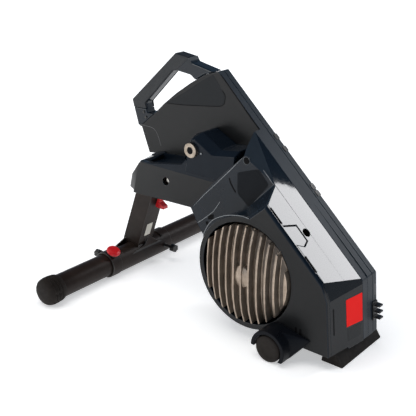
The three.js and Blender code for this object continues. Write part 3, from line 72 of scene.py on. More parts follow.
def counted(spot):
    """The opposite of at(): a place of the frame in millimetres."""
    return (spot - at(0, 0, 0)) / MM


def placed(name, data):
    """A new object in the scene."""
    thing = bpy.data.objects.new(name, data)
    bpy.context.scene.collection.objects.link(thing)
    return thing


def object_from(bm, name, *materials):
    """A new object with the shape of a bmesh, which is freed, and these materials."""
    mesh = bpy.data.meshes.new(name)
    bm.to_mesh(mesh)
    bm.free()
    for material in materials:
        mesh.materials.append(material)
    return placed(name, mesh)


# ---------------------------------------------------------------- recipes of the finishes


def fill(ramp, stops):
    """Gives a colour ramp its stops: the place of each, and a grey or a colour."""
    while len(ramp.elements) < len(stops):
        ramp.elements.new(0.5)
    for element, (position, colour) in zip(ramp.elements, stops):
        element.position = position
        element.color = (*colour, 1) if isinstance(colour, tuple) else (colour, colour, colour, 1)


class Finish:
    """A material whose colour, roughness and relief come from noise in the piece's own coordinates.

    Scales are counted per metre, and the depth of a relief is in metres.
    """

    def __init__(self, name):
        self.material = bpy.data.materials.new(name)
        self.material.use_nodes = True
        self.tree = self.material.node_tree
        self.shader = self.tree.nodes["Principled BSDF"]
        self.place = self.tree.nodes.new("ShaderNodeTexCoord").outputs["Object"]
        self.normal = None

    def node(self, kind, place=None, **inputs):
        """A new node that is read at this place, or else in the piece's own coordinates."""
        node = self.tree.nodes.new(kind)
        for name, value in inputs.items():
            node.inputs[name].default_value = value
        self.tree.links.new(place or self.place, node.inputs["Vector"])
        return node

    def stretch(self, scales, turn=(0, 0, 0)):
        """The piece's own coordinates, scaled and turned."""
        return self.node("ShaderNodeMapping", Scale=scales, Rotation=turn).outputs["Vector"]

    def noise(self, scale, detail=3.0, roughness=0.55, place=None):
        """Cloudy noise."""
        node = self.node("ShaderNodeTexNoise", place, Scale=scale, Detail=detail, Roughness=roughness)
        return node.outputs["Fac"]

    def cells(self, scale):
        """Round pits in an irregular net."""
        return self.node("ShaderNodeTexVoronoi", Scale=scale).outputs["Distance"]

    def bands(self, axis, place):
        """Waves along an axis of the place, about three to a unit."""
        node = self.node("ShaderNodeTexWave", place, Scale=1.0)
        node.bands_direction = axis
        return node.outputs["Fac"]

    def join(self, operation, *values):
        """A sum or another operation on patterns and numbers."""
        node = self.tree.nodes.new("ShaderNodeMath")
        node.operation = operation
        for socket, value in zip(node.inputs, values):
            if isinstance(value, float):
                socket.default_value = value
            else:
                self.tree.links.new(value, socket)
        return node.outputs["Value"]

    def drive(self, socket, pattern, low, high, over):
        """The shader's socket goes from low to high while the pattern goes over this range."""
        node = self.tree.nodes.new("ShaderNodeValToRGB")
        fill(node.color_ramp, ((over[0], low), (over[1], high)))
        self.tree.links.new(pattern, node.inputs["Fac"])
        self.tree.links.new(node.outputs["Color"], self.shader.inputs[socket])

    def bump(self, pattern, depth, strength=1.0):
        """Relief on top of the relief that the finish already has."""
        node = self.tree.nodes.new("ShaderNodeBump")
        node.inputs["Strength"].default_value = strength
        node.inputs["Distance"].default_value = depth
        self.tree.links.new(pattern, node.inputs["Height"])
        if self.normal:
            self.tree.links.new(self.normal, node.inputs["Normal"])
        self.normal = node.outputs["Normal"]
        self.tree.links.new(self.normal, self.shader.inputs["Normal"])

    def fixed(self, **values):
        """Values that are the same all over, set on the shader's own sockets."""
        for name, value in values.items():
            self.shader.inputs[name.replace("_", " ")].default_value = value


def moulded(name, dark, light, rough, grain=(1500, 0.00002), specular=0.5):
    """Moulded plastic: slow drift of colour, fine grain, faint handling marks."""
    f = Finish(name)
    f.drive("Base Color", f.noise(11, detail=4.0), dark, light, over=(0.30, 0.72))
    marks = f.noise(1.0, detail=5.0, roughness=0.7, place=f.stretch((60, 420, 90), turn=(0.4, 0.2, 0.9)))
    f.drive("Roughness", f.join("MULTIPLY_ADD", marks, 0.5, 0.5), *rough, over=(0.35, 0.85))
    grain_scale, grain_depth = grain
    f.bump(f.noise(grain_scale, detail=2.0, roughness=0.6), grain_depth)
    f.bump(f.noise(38, detail=2.0, roughness=0.4), 0.00012, strength=0.35)
    f.fixed(Specular_IOR_Level=specular)
    return f.material


def cast(name, dark, light, rough, metallic=1.0):
    """Cast metal: mottled skin with fine pits."""
    f = Finish(name)
    f.drive("Base Color", f.noise(55, detail=6.0, roughness=0.65), dark, light, over=(0.32, 0.70))
    f.drive("Roughness", f.noise(160, detail=4.0), *rough, over=(0.30, 0.75))
    f.bump(f.noise(900, roughness=0.7), 0.00006)
    f.bump(f.cells(420), 0.00005, strength=0.6)
    f.fixed(Metallic=metallic)
    return f.material


def turned(name, dark, light, rough):
    """Turned or ground steel: fine rings around an axis along y, a little stain."""
    f = Finish(name)
    f.drive("Base Color", f.noise(90, detail=4.0), dark, light, over=(0.30, 0.70))
    rings = f.noise(1.0, detail=2.0, roughness=0.5, place=f.stretch((40, 2600, 40)))
    f.drive("Roughness", rings, *rough, over=(0.30, 0.72))
    f.bump(rings, 0.00002, strength=0.7)
    f.fixed(Metallic=1.0)
    return f.material


def painted(name, dark, light, rough, specular=0.5):
    """Powder coat on steel: orange peel skin, dust in the low places."""
    f = Finish(name)
    f.drive("Base Color", f.noise(26, detail=5.0, roughness=0.6), dark, light, over=(0.30, 0.72))
    f.drive("Roughness", f.noise(240), *rough, over=(0.30, 0.75))
    f.bump(f.noise(620, detail=2.0, roughness=0.5), 0.00006)
    f.bump(f.noise(2400, detail=2.0, roughness=0.5), 0.00002, strength=0.6)
    f.fixed(Specular_IOR_Level=specular)
    return f.material


def gum(name, dark, light, rough):
    """Moulded rubber: dull, dusty, pebbled."""
    f = Finish(name)
    f.drive("Base Color", f.noise(34, detail=6.0, roughness=0.7), dark, light, over=(0.30, 0.74))
    f.drive("Roughness", f.noise(130, detail=4.0), *rough, over=(0.30, 0.75))
    f.bump(f.noise(800, roughness=0.6), 0.00010)
    f.bump(f.cells(1100), 0.00004, strength=0.5)
    f.fixed(Specular_IOR_Level=0.16)
    return f.material


def knurled(name, dark, light, rough):
    """Soft grip skin: a fine net of ribs, 2.4 mm apart, in dull rubber."""
    rib_pitch, waves_to_a_unit = 2.4, 3.1
    ribs_per_metre = 1000 / rib_pitch / waves_to_a_unit
    f = Finish(name)
    f.drive("Base Color", f.noise(40, detail=5.0), dark, light, over=(0.30, 0.72))
    slanted = f.stretch((ribs_per_metre,) * 3, turn=(0.0, 0.78, 0.0))
    f.bump(f.join("MAXIMUM", f.bands("X", slanted), f.bands("Z", slanted)), 0.00035)
    f.drive("Roughness", f.noise(210, detail=4.0), *rough, over=(0.30, 0.75))
    f.bump(f.noise(1800, detail=2.0), 0.00003)
    return f.material


# ---------------------------------------------------------------- the finishes
# Each call gives the dark and the light colour and the lowest and highest roughness.

finishes = {
    "panel": moulded("panel_plastic", (0.0075, 0.0077, 0.0082), (0.0110, 0.0112, 0.0118),
                     (0.24, 0.34), grain=(1300, 0.000012), specular=0.23),
    "gloss": moulded("gloss_plastic", (0.0040, 0.0075, 0.0125), (0.0066, 0.0115, 0.0185),
                     (0.020, 0.038), grain=(900, 0.0000010), specular=0.26),
    "soft_grip": knurled("soft_grip_rubber", (0.006, 0.008, 0.010), (0.012, 0.014, 0.017),
                         (0.50, 0.66)),
    "cast_aluminium": cast("cast_aluminium", (0.150, 0.118, 0.092), (0.240, 0.194, 0.155),
                           (0.46, 0.60), metallic=0.35),
    "dark_steel": painted("black_powder_coat", (0.0135, 0.0085, 0.0065), (0.0235, 0.0155, 0.0122),
                          (0.38, 0.52), specular=0.17),
    "bright_steel": turned("bright_steel", (0.50, 0.47, 0.43), (0.72, 0.69, 0.64), (0.20, 0.36)),
    "machined": turned("machined_steel", (0.36, 0.35, 0.34), (0.58, 0.57, 0.56), (0.25, 0.42)),
    "rubber": gum("black_rubber", (0.0115, 0.0090, 0.0076), (0.0235, 0.0187, 0.0158), (0.58, 0.78)),
    "black_plastic": moulded("black_plastic", (0.004, 0.004, 0.004), (0.009, 0.0085, 0.008),
                             (0.30, 0.44)),
    "red_plastic": moulded("red_plastic", (0.52, 0.006, 0.010), (0.68, 0.014, 0.018), (0.25, 0.38)),
    "bronze": cast("bronze", (0.30, 0.17, 0.06), (0.46, 0.28, 0.11), (0.30, 0.45)),
}
# Finishes of the rounded edges. Most are a little lighter than their faces, partly wear and partly a
# painted highlight along the edge; the cast aluminium edge is far lighter, bare metal and a painted
# highlight together.
edges = {
    "panel": moulded("panel_plastic_edge", (0.006, 0.0062, 0.0064), (0.011, 0.0112, 0.0115),
                     (0.14, 0.20)),
    "gloss": moulded("gloss_plastic_edge", (0.004, 0.009, 0.015), (0.007, 0.014, 0.023), (0.08, 0.12)),
    "cast_aluminium": cast("cast_aluminium_edge_highlight", (0.42, 0.33, 0.25), (0.66, 0.54, 0.43), (0.30, 0.42)),
    "dark_steel": painted("black_powder_coat_edge", (0.016, 0.0135, 0.0115), (0.030, 0.026, 0.022),
                          (0.34, 0.46)),
    "rubber": gum("black_rubber_edge", (0.016, 0.0135, 0.0115), (0.032, 0.028, 0.024), (0.5, 0.7)),
}
# Navy copy of the black plastic for faces that look back or up: partly the plastic's own navy, partly a
# painted reflection of the sky that these faces mirror.
case_navy_and_sheen = moulded("case_navy_and_sheen_plastic", (0.0060, 0.0115, 0.0180), (0.0095, 0.0170, 0.0260),
                     (0.40, 0.52), grain=(1100, 0.000030), specular=0.33)
handle_satin = moulded("handle_satin_plastic", (0.0080, 0.0110, 0.0150), (0.0120, 0.0160, 0.0210),
                       (0.45, 0.58), grain=(1100, 0.000030), specular=0.25)
# Lighter navy copy for the face that slopes from the neck up to the case: a painted sheen of the sky that
# this face mirrors.
slope_navy_and_sheen = moulded("slope_navy_and_sheen_plastic", (0.0120, 0.0185, 0.0270), (0.0165, 0.0250, 0.0355),
                      (0.26, 0.36), grain=(1100, 0.000012), specular=0.36)
hood_plastic = moulded("hood_plastic", (0.0042, 0.0050, 0.0070), (0.0068, 0.0080, 0.0108),
                       (0.30, 0.40), specular=0.09)
# Darker navy plastic: painted shade on the neck's near face, where the neck mirrors something dark.
painted_shade_plastic = moulded("painted_shade_plastic", (0.0045, 0.0058, 0.0080), (0.0070, 0.0088, 0.0120),
                        (0.16, 0.24), specular=0.08)
# Navy copy for the tray and the arm's upward faces: partly the plastic's own navy, partly a painted
# reflection of the sky.
tray_navy_and_sheen = moulded("tray_navy_and_sheen_plastic", (0.0050, 0.0080, 0.0130), (0.0078, 0.0120, 0.0185),
                     (0.12, 0.18), grain=(1000, 0.000008), specular=0.13)
label_plastic = moulded("label_plastic", (0.0030, 0.0045, 0.0065), (0.0050, 0.0070, 0.0095),
                        (0.16, 0.24), specular=0.20)
brass_ring = turned("satin_ring", (0.30, 0.25, 0.20), (0.46, 0.39, 0.32), (0.38, 0.50))
# Lighter cast finish for the fins' outer edges: bare metal and a painted highlight together.
fin_crest_highlight = cast("fin_crest_highlight", (0.30, 0.235, 0.185), (0.47, 0.385, 0.31), (0.34, 0.48))
dark_pin = painted("dark_pin", (0.010, 0.009, 0.008), (0.020, 0.018, 0.016), (0.35, 0.5))
red_film = moulded("red_film", (0.98, 0.010, 0.008), (1.0, 0.014, 0.011), (0.40, 0.50), specular=0.07)
pale_film = moulded("pale_film", (0.40, 0.37, 0.31), (0.58, 0.55, 0.48), (0.35, 0.5))
# Near-black strips and discs for grooves, slots, vents and holes: painted shade where these lie in shadow.
painted_groove_shade = moulded("painted_groove_shade", (0.0012, 0.0012, 0.0014), (0.0022, 0.0022, 0.0025), (0.55, 0.7),
                    specular=0.1)
# Pale grey: a real pale strip on the belt case's rear, and a painted highlight along the seam of the
# cover's front panel.
pale_strip_and_highlight = moulded("pale_strip_and_highlight", (0.055, 0.056, 0.058), (0.085, 0.086, 0.090), (0.3, 0.45))
# Light grey: painted highlights along rounded rims and folds, and painted highlight dots on small screw
# heads.
painted_rim_highlight = moulded("painted_rim_highlight", (0.16, 0.17, 0.18), (0.24, 0.25, 0.26), (0.3, 0.45))
# Darker navy plastic: a real plain patch on the label, and painted shade on the belt case's recess.
patch_and_painted_shade_plastic = moulded("patch_and_painted_shade_plastic", (0.0045, 0.0062, 0.0080), (0.0068, 0.0088, 0.0110),
                         (0.15, 0.23), specular=0.16)


def coat(piece, material):
    """The whole piece takes one material."""
    if not piece.material_slots:
        piece.data.materials.append(None)
    for place in piece.material_slots:
        place.material = material


def finish_of(node):
    """The finish of the node's faces and that of its rounded edges."""
    slot = slot_of[node]
    return finishes[slot], edges.get(slot, finishes[slot])


for node, piece in nodes.items():
    coat(piece, finishes[slot_of[node]])


# ---------------------------------------------------------------- rounded copies of the solids

WELD = 1e-5             # metres: corners nearer than this are one
FLAT_ANGLE = 0.4        # degrees: faces that turn less than this are one
SHARP_ANGLE = 27.0      # degrees: edges that turn more than this are rounded
CREASE_ANGLE = 50.0     # degrees: edges that turn more than this are shaded as a crease
OPEN_ROOM = 1.0         # metres: the room beside an edge that no other edge limits
CROSSING = 0.5          # the next edge round a face limits the room above this sine
ROOM_USED = 0.45        # the share of the room beside an edge that its rounding may take
IN_LINE = -0.8          # two edges of a corner run on in one line below this cosine
STEPS = 3               # faces across a rounded edge
STRAY = 0.85            # a corner farther off the solid than this share of the width is stray
FOLD_WIDER = 6.0        # how many times wider the neck's fold is rounded than other edges
FOLD_STEPS = 5          # STEPS for a piece with such a fold
FOLD_STRAY = 0.45       # STRAY for a piece with such a fold
BROAD_FACE = 300        # square millimetres: larger faces of a panel are shaded flat


def room_beside(edge, face, sharp):
    """How far, in metres, the edge can be rounded into this face before it meets another edge."""
    room = OPEN_ROOM
    middle = (edge.verts[0].co + edge.verts[1].co) / 2
    along = (edge.verts[1].co - edge.verts[0].co).normalized()
    for other in face.edges:
        if other is edge:
            continue
        start, end = other.verts[0].co, other.verts[1].co
        shared = [vert for vert in other.verts if vert in edge.verts]
        if shared:
            way = other.other_vert(shared[0]).co - shared[0].co
            sine = way.normalized().cross(along).length if way.length else 0
            if sine > CROSSING:
                room = min(room, way.length * sine)
        elif other in sharp:
            way = end - start
            share = max(0.0, min(1.0, (middle - start).dot(way) / max(way.length_squared, 1e-12)))
            room = min(room, (start + way * share - middle).length)
    return room


def level(bm, weight):
    """Weighted edges that run on in one line all take the smallest weight among them."""
    changed = True
    while changed:
        changed = False
        for vert in bm.verts:
            ends = [edge for edge in vert.link_edges if edge in weight]
            for one, two in combinations(ends, 2):
                u = (one.other_vert(vert).co - vert.co).normalized()
                v = (two.other_vert(vert).co - vert.co).normalized()
                if u.dot(v) < IN_LINE and abs(weight[one] - weight[two]) > 1e-6:
                    weight[one] = weight[two] = min(weight[one], weight[two])
                    changed = True


def settle(piece):
    """Applies the piece's modifiers to its mesh."""
    bpy.context.view_layer.update()
    graph = bpy.context.evaluated_depsgraph_get()
    mesh = bpy.data.meshes.new_from_object(piece.evaluated_get(graph))
    old = piece.data
    piece.modifiers.clear()
    piece.data = mesh
    bpy.data.meshes.remove(old)


def lay_back(piece, solid, farthest):
    """Corners that the rounding threw farther than this off the solid are put back on it."""
    for vert in piece.data.vertices:
        spot, _, _, distance = solid.find_nearest(vert.co)
        if distance > farthest:
            vert.co = spot


def softened(node, width, is_fold=None):
    """A copy of the node with every sharp edge rounded as far as its neighbours leave room.

    Edges that pass the test is_fold are rounded wider, and the whole piece in more steps.
    """
    bm = bmesh.new()
    bm.from_mesh(nodes[node].data)
    bm.transform(nodes[node].matrix_world)
    bmesh.ops.remove_doubles(bm, verts=bm.verts, dist=WELD)
    bmesh.ops.dissolve_limit(bm, angle_limit=math.radians(FLAT_ANGLE), verts=bm.verts, edges=bm.edges)
    bm.normal_update()
    layers = bm.edges.layers.float
    layer = layers.get("bevel_weight_edge") or layers.new("bevel_weight_edge")
    sharp = {edge for edge in bm.edges
             if len(edge.link_faces) == 2 and edge.calc_face_angle(0) > math.radians(SHARP_ANGLE)}
    widest = width * (FOLD_WIDER if is_fold else 1.0)
    weight = {}
    for edge in sharp:
        room = min(room_beside(edge, face, sharp) for face in edge.link_faces)
        wanted = widest if is_fold and is_fold(edge) else width
        weight[edge] = min(wanted / widest, ROOM_USED * room / (widest * MM))
    level(bm, weight)
    for edge, share in weight.items():
        edge[layer] = share
    solid = BVHTree.FromBMesh(bm)
    piece = object_from(bm, "look_" + node, *finish_of(node))
    rounding = piece.modifiers.new("rounding", "BEVEL")
    rounding.limit_method = "WEIGHT"
    rounding.width = widest * MM
    rounding.segments = FOLD_STEPS if is_fold else STEPS
    rounding.use_clamp_overlap = False
    # Rounded edges take the node's edge finish, in part a painted highlight.
    rounding.material = 1
    settle(piece)
    lay_back(piece, solid, (FOLD_STRAY if is_fold else STRAY) * widest * MM)
    return piece


def shade(piece, angle=CREASE_ANGLE):
    """Smooth faces with crisp creases."""
    for face in piece.data.polygons:
        face.use_smooth = True
    piece.data.set_sharp_from_angle(angle=math.radians(angle))
    weighted = piece.modifiers.new("weighted", "WEIGHTED_NORMAL")
    weighted.keep_sharp = True
    weighted.weight = 60


def shade_panels(piece):
    """Like shade(), but every broad face stays flat up to its rounded edge."""
    mesh = piece.data
    around = [[] for vert in mesh.vertices]
    for face in mesh.polygons:
        face.use_smooth = True
        for index in face.vertices:
            around[index].append(face)
    near = math.cos(math.radians(CREASE_ANGLE))
    least = BROAD_FACE * MM * MM
    normals = [None] * len(mesh.loops)
    for face in mesh.polygons:
        for loop in face.loop_indices:
            joined = [other for other in around[mesh.loops[loop].vertex_index]
                      if other.normal.dot(face.normal) > near]
            widest = max(joined, key=lambda other: other.area)
            if face.area > least:
                normals[loop] = face.normal.copy()
            elif widest.area > least:
                normals[loop] = widest.normal.copy()
            else:
                blend = sum((other.normal * other.area for other in joined), Vector())
                normals[loop] = blend.normalized()
    mesh.normals_split_custom_set(normals)


pieces = {}


def adopt(piece, node):
    """The piece stands for the node, on its body."""
    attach(piece, body_of[node])
    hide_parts(node)
    pieces[node] = piece


def neck_fold(edge):
    """Whether an edge is the fold between the neck's near face and the face that slopes up to the case."""
    a, b = (face.normal for face in edge.link_faces)
    if a.y > b.y:
        a, b = b, a
    return a.y < -0.97 and abs(b.y + 0.53) < 0.1 and b.x > 0.3 and b.z > 0.6


rounding_of = {
    "belt_cover_near": 2.0, "belt_cover_far": 3.0, "unit_cover_near": 2.2, "unit_cover_rear": 2.6,
    "arm_cover": 2.6, "arm_nose_far": 3.0, "handle_frame": 3.2, "handle_grip": 3.0,
    "finned_housing": 1.0, "back_housing": 1.2, "frame_plate_left": 0.6, "arm_plate_right": 0.6,
    "unit_plate_right": 0.6, "cross_bar": 1.2, "rear_foot": 2.2, "roller_hood": 1.6,
    "rear_louvre": 0.6, "leg_bracket": 2.2, "latch_lever": 1.0, "plunger_collar": 1.2,
    "pivot_bolt": 0.8, "axle_adapter_left": 0.7, "axle_adapter_right": 0.7, "freehub_body": 0.3,
    "leg_tube": 0.6, "plunger_knob": 2.0, "thumb_knob_rear": 1.0, "thumb_knob_front": 1.0,
    "handle_screw_upper": 0.4, "handle_screw_lower": 0.4,
}
folded = {"unit_cover_rear": neck_fold}
panels = ("unit_cover_near", "unit_cover_rear", "belt_cover_near", "belt_cover_far")
for node, width in rounding_of.items():
    piece = softened(node, width, folded.get(node))
    if node in panels:
        shade_panels(piece)
    else:
        shade(piece)
    adopt(piece, node)


# ---------------------------------------------------------------- faces with a finish of their own, some of them painted reflections


def paint(piece, test, material):
    """Faces whose normal and middle pass the test take this material."""
    piece.data.materials.append(material)
    index = len(piece.data.materials) - 1
    for face in piece.data.polygons:
        if test(face.normal, counted(face.center)):
            face.material_index = index


def looks_back(normal, middle):
    """The rear edges of the belt case."""
    return normal.x > 0.3


def looks_back_and_up(normal, middle):
    """The upper side of the handle."""
    return normal.x > 0.3 and normal.z > 0.2


def looks_back_or_up(normal, middle):
    """The band round the near half of the unit."""
    return normal.x > 0.15 or normal.z > 0.3


def neck_slope(normal, middle):
    """The face that slopes from the neck up to the belt case."""
    return middle.z > 285 and -0.75 < normal.y < -0.3 and normal.z > 0.5


def label_side(normal, middle):
    """The rear face of the unit."""
    return normal.x > 0.9


def tray_side(normal, middle):
    """The tray on the arm cover, and what looks up."""
    return middle.z > 284 or normal.z > 0.3


def fin_end(normal, middle):
    """The outer edges of the fins."""
    return normal.y < -0.86 and middle.y < -128


# The rear edges of the case, the upper side of the handle, the band round the unit, the neck's slope and
# the tray take navy copies of the plastic: partly its own navy, partly a painted reflection of the sky that
# these faces mirror. The fin ends take a lighter cast finish: bare metal and a painted highlight.
for node, test, material in (
        ("belt_cover_near", looks_back, case_navy_and_sheen),
        ("belt_cover_far", looks_back, case_navy_and_sheen),
        ("handle_frame", looks_back_and_up, case_navy_and_sheen),
        ("handle_grip", looks_back_and_up, handle_satin),
        ("unit_cover_near", looks_back_or_up, finishes["gloss"]),
        ("unit_cover_near", neck_slope, slope_navy_and_sheen),
        ("unit_cover_rear", neck_slope, slope_navy_and_sheen),
        ("unit_cover_near", label_side, label_plastic),
        ("unit_cover_rear", label_side, label_plastic),
        ("arm_cover", tray_side, tray_navy_and_sheen),
        ("finned_housing", fin_end, fin_crest_highlight)):
    paint(pieces[node], test, material)

coat(pieces["roller_hood"], hood_plastic)
for node in ("axle_adapter_left", "axle_adapter_right"):
    coat(pieces[node], brass_ring)
for node in ("handle_screw_upper", "handle_screw_lower"):
    coat(pieces[node], dark_pin)
for node in ("roller_pin", "thumb_shaft_rear", "thumb_shaft_front"):
    coat(nodes[node], dark_pin)


# ---------------------------------------------------------------- turned pieces

CAP_SIDES = 72
WHEEL_SIDES = 96
RIB_ROWS = range(6, 15)         # rows of the cap's profile that its grooves cross
GROOVE_DEPTH = 1.6
GROOVE_EVERY, GROOVE_SIDES = 9, 2


def extent(node):
    """The node's lowest and highest corner, and its middle."""
    low, high = (counted(corner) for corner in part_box(node))
    return low, high, (low + high) / 2


def lathe(node, profile, axis, sides, groove=None):
    """A closed piece in the node's place, turned round a line along y through the place axis.

    Rows of the profile are radius and y, from one point of that line to another.
    """
    centre = at(axis.x, 0, axis.z)
    bm = bmesh.new()
    rows = []
    for row, (radius, y) in enumerate(profile):
        ring = []
        for i in range(sides if radius else 1):
            angle = 2 * math.pi * i / sides
            r = radius - (groove(row, i) if groove and radius else 0)
            spoke = Vector((r * math.cos(angle) * MM, y * MM, r * math.sin(angle) * MM))
            ring.append(bm.verts.new(centre + spoke))
        rows.append(ring)
    for one, two in zip(rows, rows[1:]):
        for i in range(sides):
            j = (i + 1) % sides
            corners = one[i % len(one)], one[j % len(one)], two[j % len(two)], two[i % len(two)]
            bm.faces.new(list(dict.fromkeys(corners)))
    bmesh.ops.recalc_face_normals(bm, faces=bm.faces)
    piece = object_from(bm, "look_" + node, *finish_of(node))
    shade(piece, angle=40)
    adopt(piece, node)


def cap_profile(outer, length):
    """Radius and depth from the tip: dome, neck, two ribs, collar, hem, and the pocket for the tube."""
    return [(0.0, 0.0), (12.0, 0.4), (19.5, 1.6), (25.0, 4.0), (28.6, 8.0), (30.2, 13.0),
            (29.2, 14.5), (29.4, 16.0), (outer, 17.5), (outer, 21.0), (29.2, 22.5), (29.2, 24.5),
            (outer, 26.0), (outer, 29.5), (29.2, 31.0), (29.0, 33.0), (30.4, 34.5), (30.2, 38.0),
            (28.6, length - 2.0), (27.4, length), (26.2, length), (26.2, 6.0), (0.0, 6.0)]


def cap_groove(row, i):
    """How deep side i of a row of the cap lies under the profile: grooves across the ribs."""
    return GROOVE_DEPTH if row in RIB_ROWS and i % GROOVE_EVERY < GROOVE_SIDES else 0.0


def wheel_profile(outer, near, far):
    """Radius and y of the roller's tyre and rim, with a shallow groove round the tyre."""
    return [(0.0, near + 0.6), (9.0, near + 0.4), (20.0, near), (24.0, near + 0.5), (26.3, near + 1.8),
            (outer, near + 4.5), (outer, near + 14.0), (outer - 0.8, near + 15.0),
            (outer - 0.8, near + 17.0), (outer, near + 18.0), (outer, far - 4.5), (26.3, far - 1.8),
            (23.5, far), (8.6, far), (8.6, near + 3.0), (0.0, near + 3.0)]


for node, inward in (("end_cap_near", 1), ("end_cap_far", -1)):
    low, high, middle = extent(node)
    tip = low.y if inward > 0 else high.y
    rows = cap_profile((high.x - low.x) / 2, high.y - low.y)
    rows = [(radius, tip + inward * depth) for radius, depth in rows]
    lathe(node, rows, middle, CAP_SIDES, cap_groove)

low, high, middle = extent("roller_wheel")
lathe("roller_wheel", wheel_profile((high.x - low.x) / 2, low.y, high.y), middle, WHEEL_SIDES)


# ---------------------------------------------------------------- thin plates, lines and discs: real patches and parts, and painted shade and highlights

NEAR_SIDE = Vector((0, -1, 0))
CASE_Y = 0              # near face of the belt case
TRAY_Y = -1             # the wall at the back of the tray
NECK_Y = -64            # near face of the neck
UNIT_Y = -123           # near face of the unit
SLOPE_X, SLOPE_Z = 15, 491      # where the slanted rear edge of the belt case starts
SLOPE_FALL, SLOPE_RUN = 341, 365
SLOPE_OUT = Vector((SLOPE_FALL, 0, SLOPE_RUN)).normalized()
LABEL_X, LABEL_Y, LABEL_Z = 380.0, -19, 150.0       # upper far corner of the unit's rear face
LABEL_LEAN = 12 / 124
LABEL_TURN = math.tan(math.radians(7.3))
LABEL_OUT = Vector((1, -LABEL_TURN, LABEL_LEAN)).normalized()

SUNK = 0.4              # a plate starts this deep inside the face that it lies on
SIDE_USED = 0.45        # the share of a side that a rounded corner may take
CORNER_STEPS = 4        # straight parts of a rounded corner
LINE_END = 0.25         # the share of its width that a line has at its ends
DISC_SIDES = 28


def rounded_outline(points, reach):
    """The outline with each corner bent into a curve that starts this far before it, in metres."""
    outline = []
    for i, point in enumerate(points):
        back, on = points[i - 1] - point, points[(i + 1) % len(points)] - point
        bend = min(reach, back.length * SIDE_USED, on.length * SIDE_USED)
        start, stop = point + back.normalized() * bend, point + on.normalized() * bend
        for k in range(CORNER_STEPS + 1):
            t = k / CORNER_STEPS
            outline.append(start * (1 - t) ** 2 + point * (2 * t * (1 - t)) + stop * t ** 2)
    return outline


def slab(name, corners, out, material, thick, round_by=0.0, body="root"):
    """A thin closed plate on a face: its corners, and the way that the face looks."""
    out = Vector(out).normalized()
    points = [at(*corner) for corner in corners]
    if round_by:
        points = rounded_outline(points, round_by * MM)
    bm = bmesh.new()
    base = [bm.verts.new(point - out * SUNK * MM) for point in points]
    top = [bm.verts.new(point + out * thick * MM) for point in points]
    bm.faces.new(top)
    bm.faces.new(base[::-1])
    for i in range(len(points)):
        j = (i + 1) % len(points)
        bm.faces.new([base[i], base[j], top[j], top[i]])
    bmesh.ops.recalc_face_normals(bm, faces=bm.faces)
    piece = object_from(bm, name, material)
    shade(piece, angle=35)
    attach(piece, body)


def line(name, points, material, width, thick=0.18):
    """A thin strip on a face of the near side, narrower at its ends: painted shade in seams and grooves,
    and painted highlights along rims.
    """
    spots = [Vector(point) for point in points]
    left, right = [], []
    for i, spot in enumerate(spots):
        before = spots[max(i - 1, 0)]
        after = spots[min(i + 1, len(spots) - 1)]
        side = (after - before).normalized().cross(NEAR_SIDE).normalized()
        half = width / 2 * (LINE_END if i in (0, len(spots) - 1) else 1.0)
        left.append(spot + side * half)
        right.append(spot - side * half)
    slab(name, left + right[::-1], NEAR_SIDE, material, thick)


def disc(name, centre, material, radius, thick):
    """A round plate on a face of the near side."""
    one = NEAR_SIDE.orthogonal().normalized()
    two = NEAR_SIDE.cross(one)
    ring = [Vector(centre) + (one * math.cos(a) + two * math.sin(a)) * radius
            for a in (2 * math.pi * k / DISC_SIDES for k in range(DISC_SIDES))]
    slab(name, ring, NEAR_SIDE, material, thick)


def smooth_path(points, parts=5):
    """More points, on a smooth curve through the given ones."""
    spots = [Vector(point) for point in points]
    out = []
    for i in range(len(spots) - 1):
        p0, p1, p2, p3 = spots[max(i - 1, 0)], spots[i], spots[i + 1], spots[min(i + 2, len(spots) - 1)]
        for k in range(parts):
            t = k / parts
            out.append(0.5 * ((2 * p1) + (p2 - p0) * t + (2 * p0 - 5 * p1 + 4 * p2 - p3) * t * t
                              + (3 * p1 - p0 - 3 * p2 + p3) * t ** 3))
    return out + [spots[-1]]


def upright(y, *places):
    """Places on an upright face of the near side, from their x and z."""
    return [(x, y, z) for x, z in places]


def on_slope(x, y):
    """A place on the slanted rear edge of the belt case."""
    return x, y, SLOPE_Z - (x - SLOPE_X) * SLOPE_FALL / SLOPE_RUN


def on_label(y, z):
    """A place on the rear face of the unit, which leans and is turned a little to the near side."""
    return LABEL_X + (y - LABEL_Y) * LABEL_TURN + (LABEL_Z - z) * LABEL_LEAN, y, z


def rear_of(node, places, start_x):
    """Where lines towards -x first meet the node, from their y and z, and the first one's normal."""
    shape = bmesh.new()
    shape.from_mesh(nodes[node].data)
    shape.transform(nodes[node].matrix_world)
    solid = BVHTree.FromBMesh(shape)
    shape.free()
    hits = [solid.ray_cast(at(start_x, y, z), Vector((-1, 0, 0))) for y, z in places]
    return [counted(hit[0]) for hit in hits], hits[0][1]


# A darker plate where the belt case has a shallow recess: its darker tone is painted shade, and the dark
# line along its lower edge a painted shadow of the step.
recess_edge = smooth_path(upright(CASE_Y, (-128, 403), (-88, 406), (-46, 411), (7, 418.4), (23, 421.7),
                                  (30.7, 427.1), (33.2, 436), (33, 446), (25, 455)))
recess_rest = upright(CASE_Y, (14, 470), (2, 483.5), (-34, 462), (-70, 437.5))
slab("cover_recess_shade", recess_edge + recess_rest, NEAR_SIDE, patch_and_painted_shade_plastic, thick=0.12)
line("cover_step_shadow", recess_edge, painted_groove_shade, width=1.6, thick=0.2)
# A groove in the belt case, drawn as a dark strip of painted shade.
cover_groove = upright(CASE_Y, (22, 486), (45, 463.5), (71, 438), (96, 413), (126, 385))
line("cover_groove", smooth_path(cover_groove, parts=3), painted_groove_shade, width=2.2)
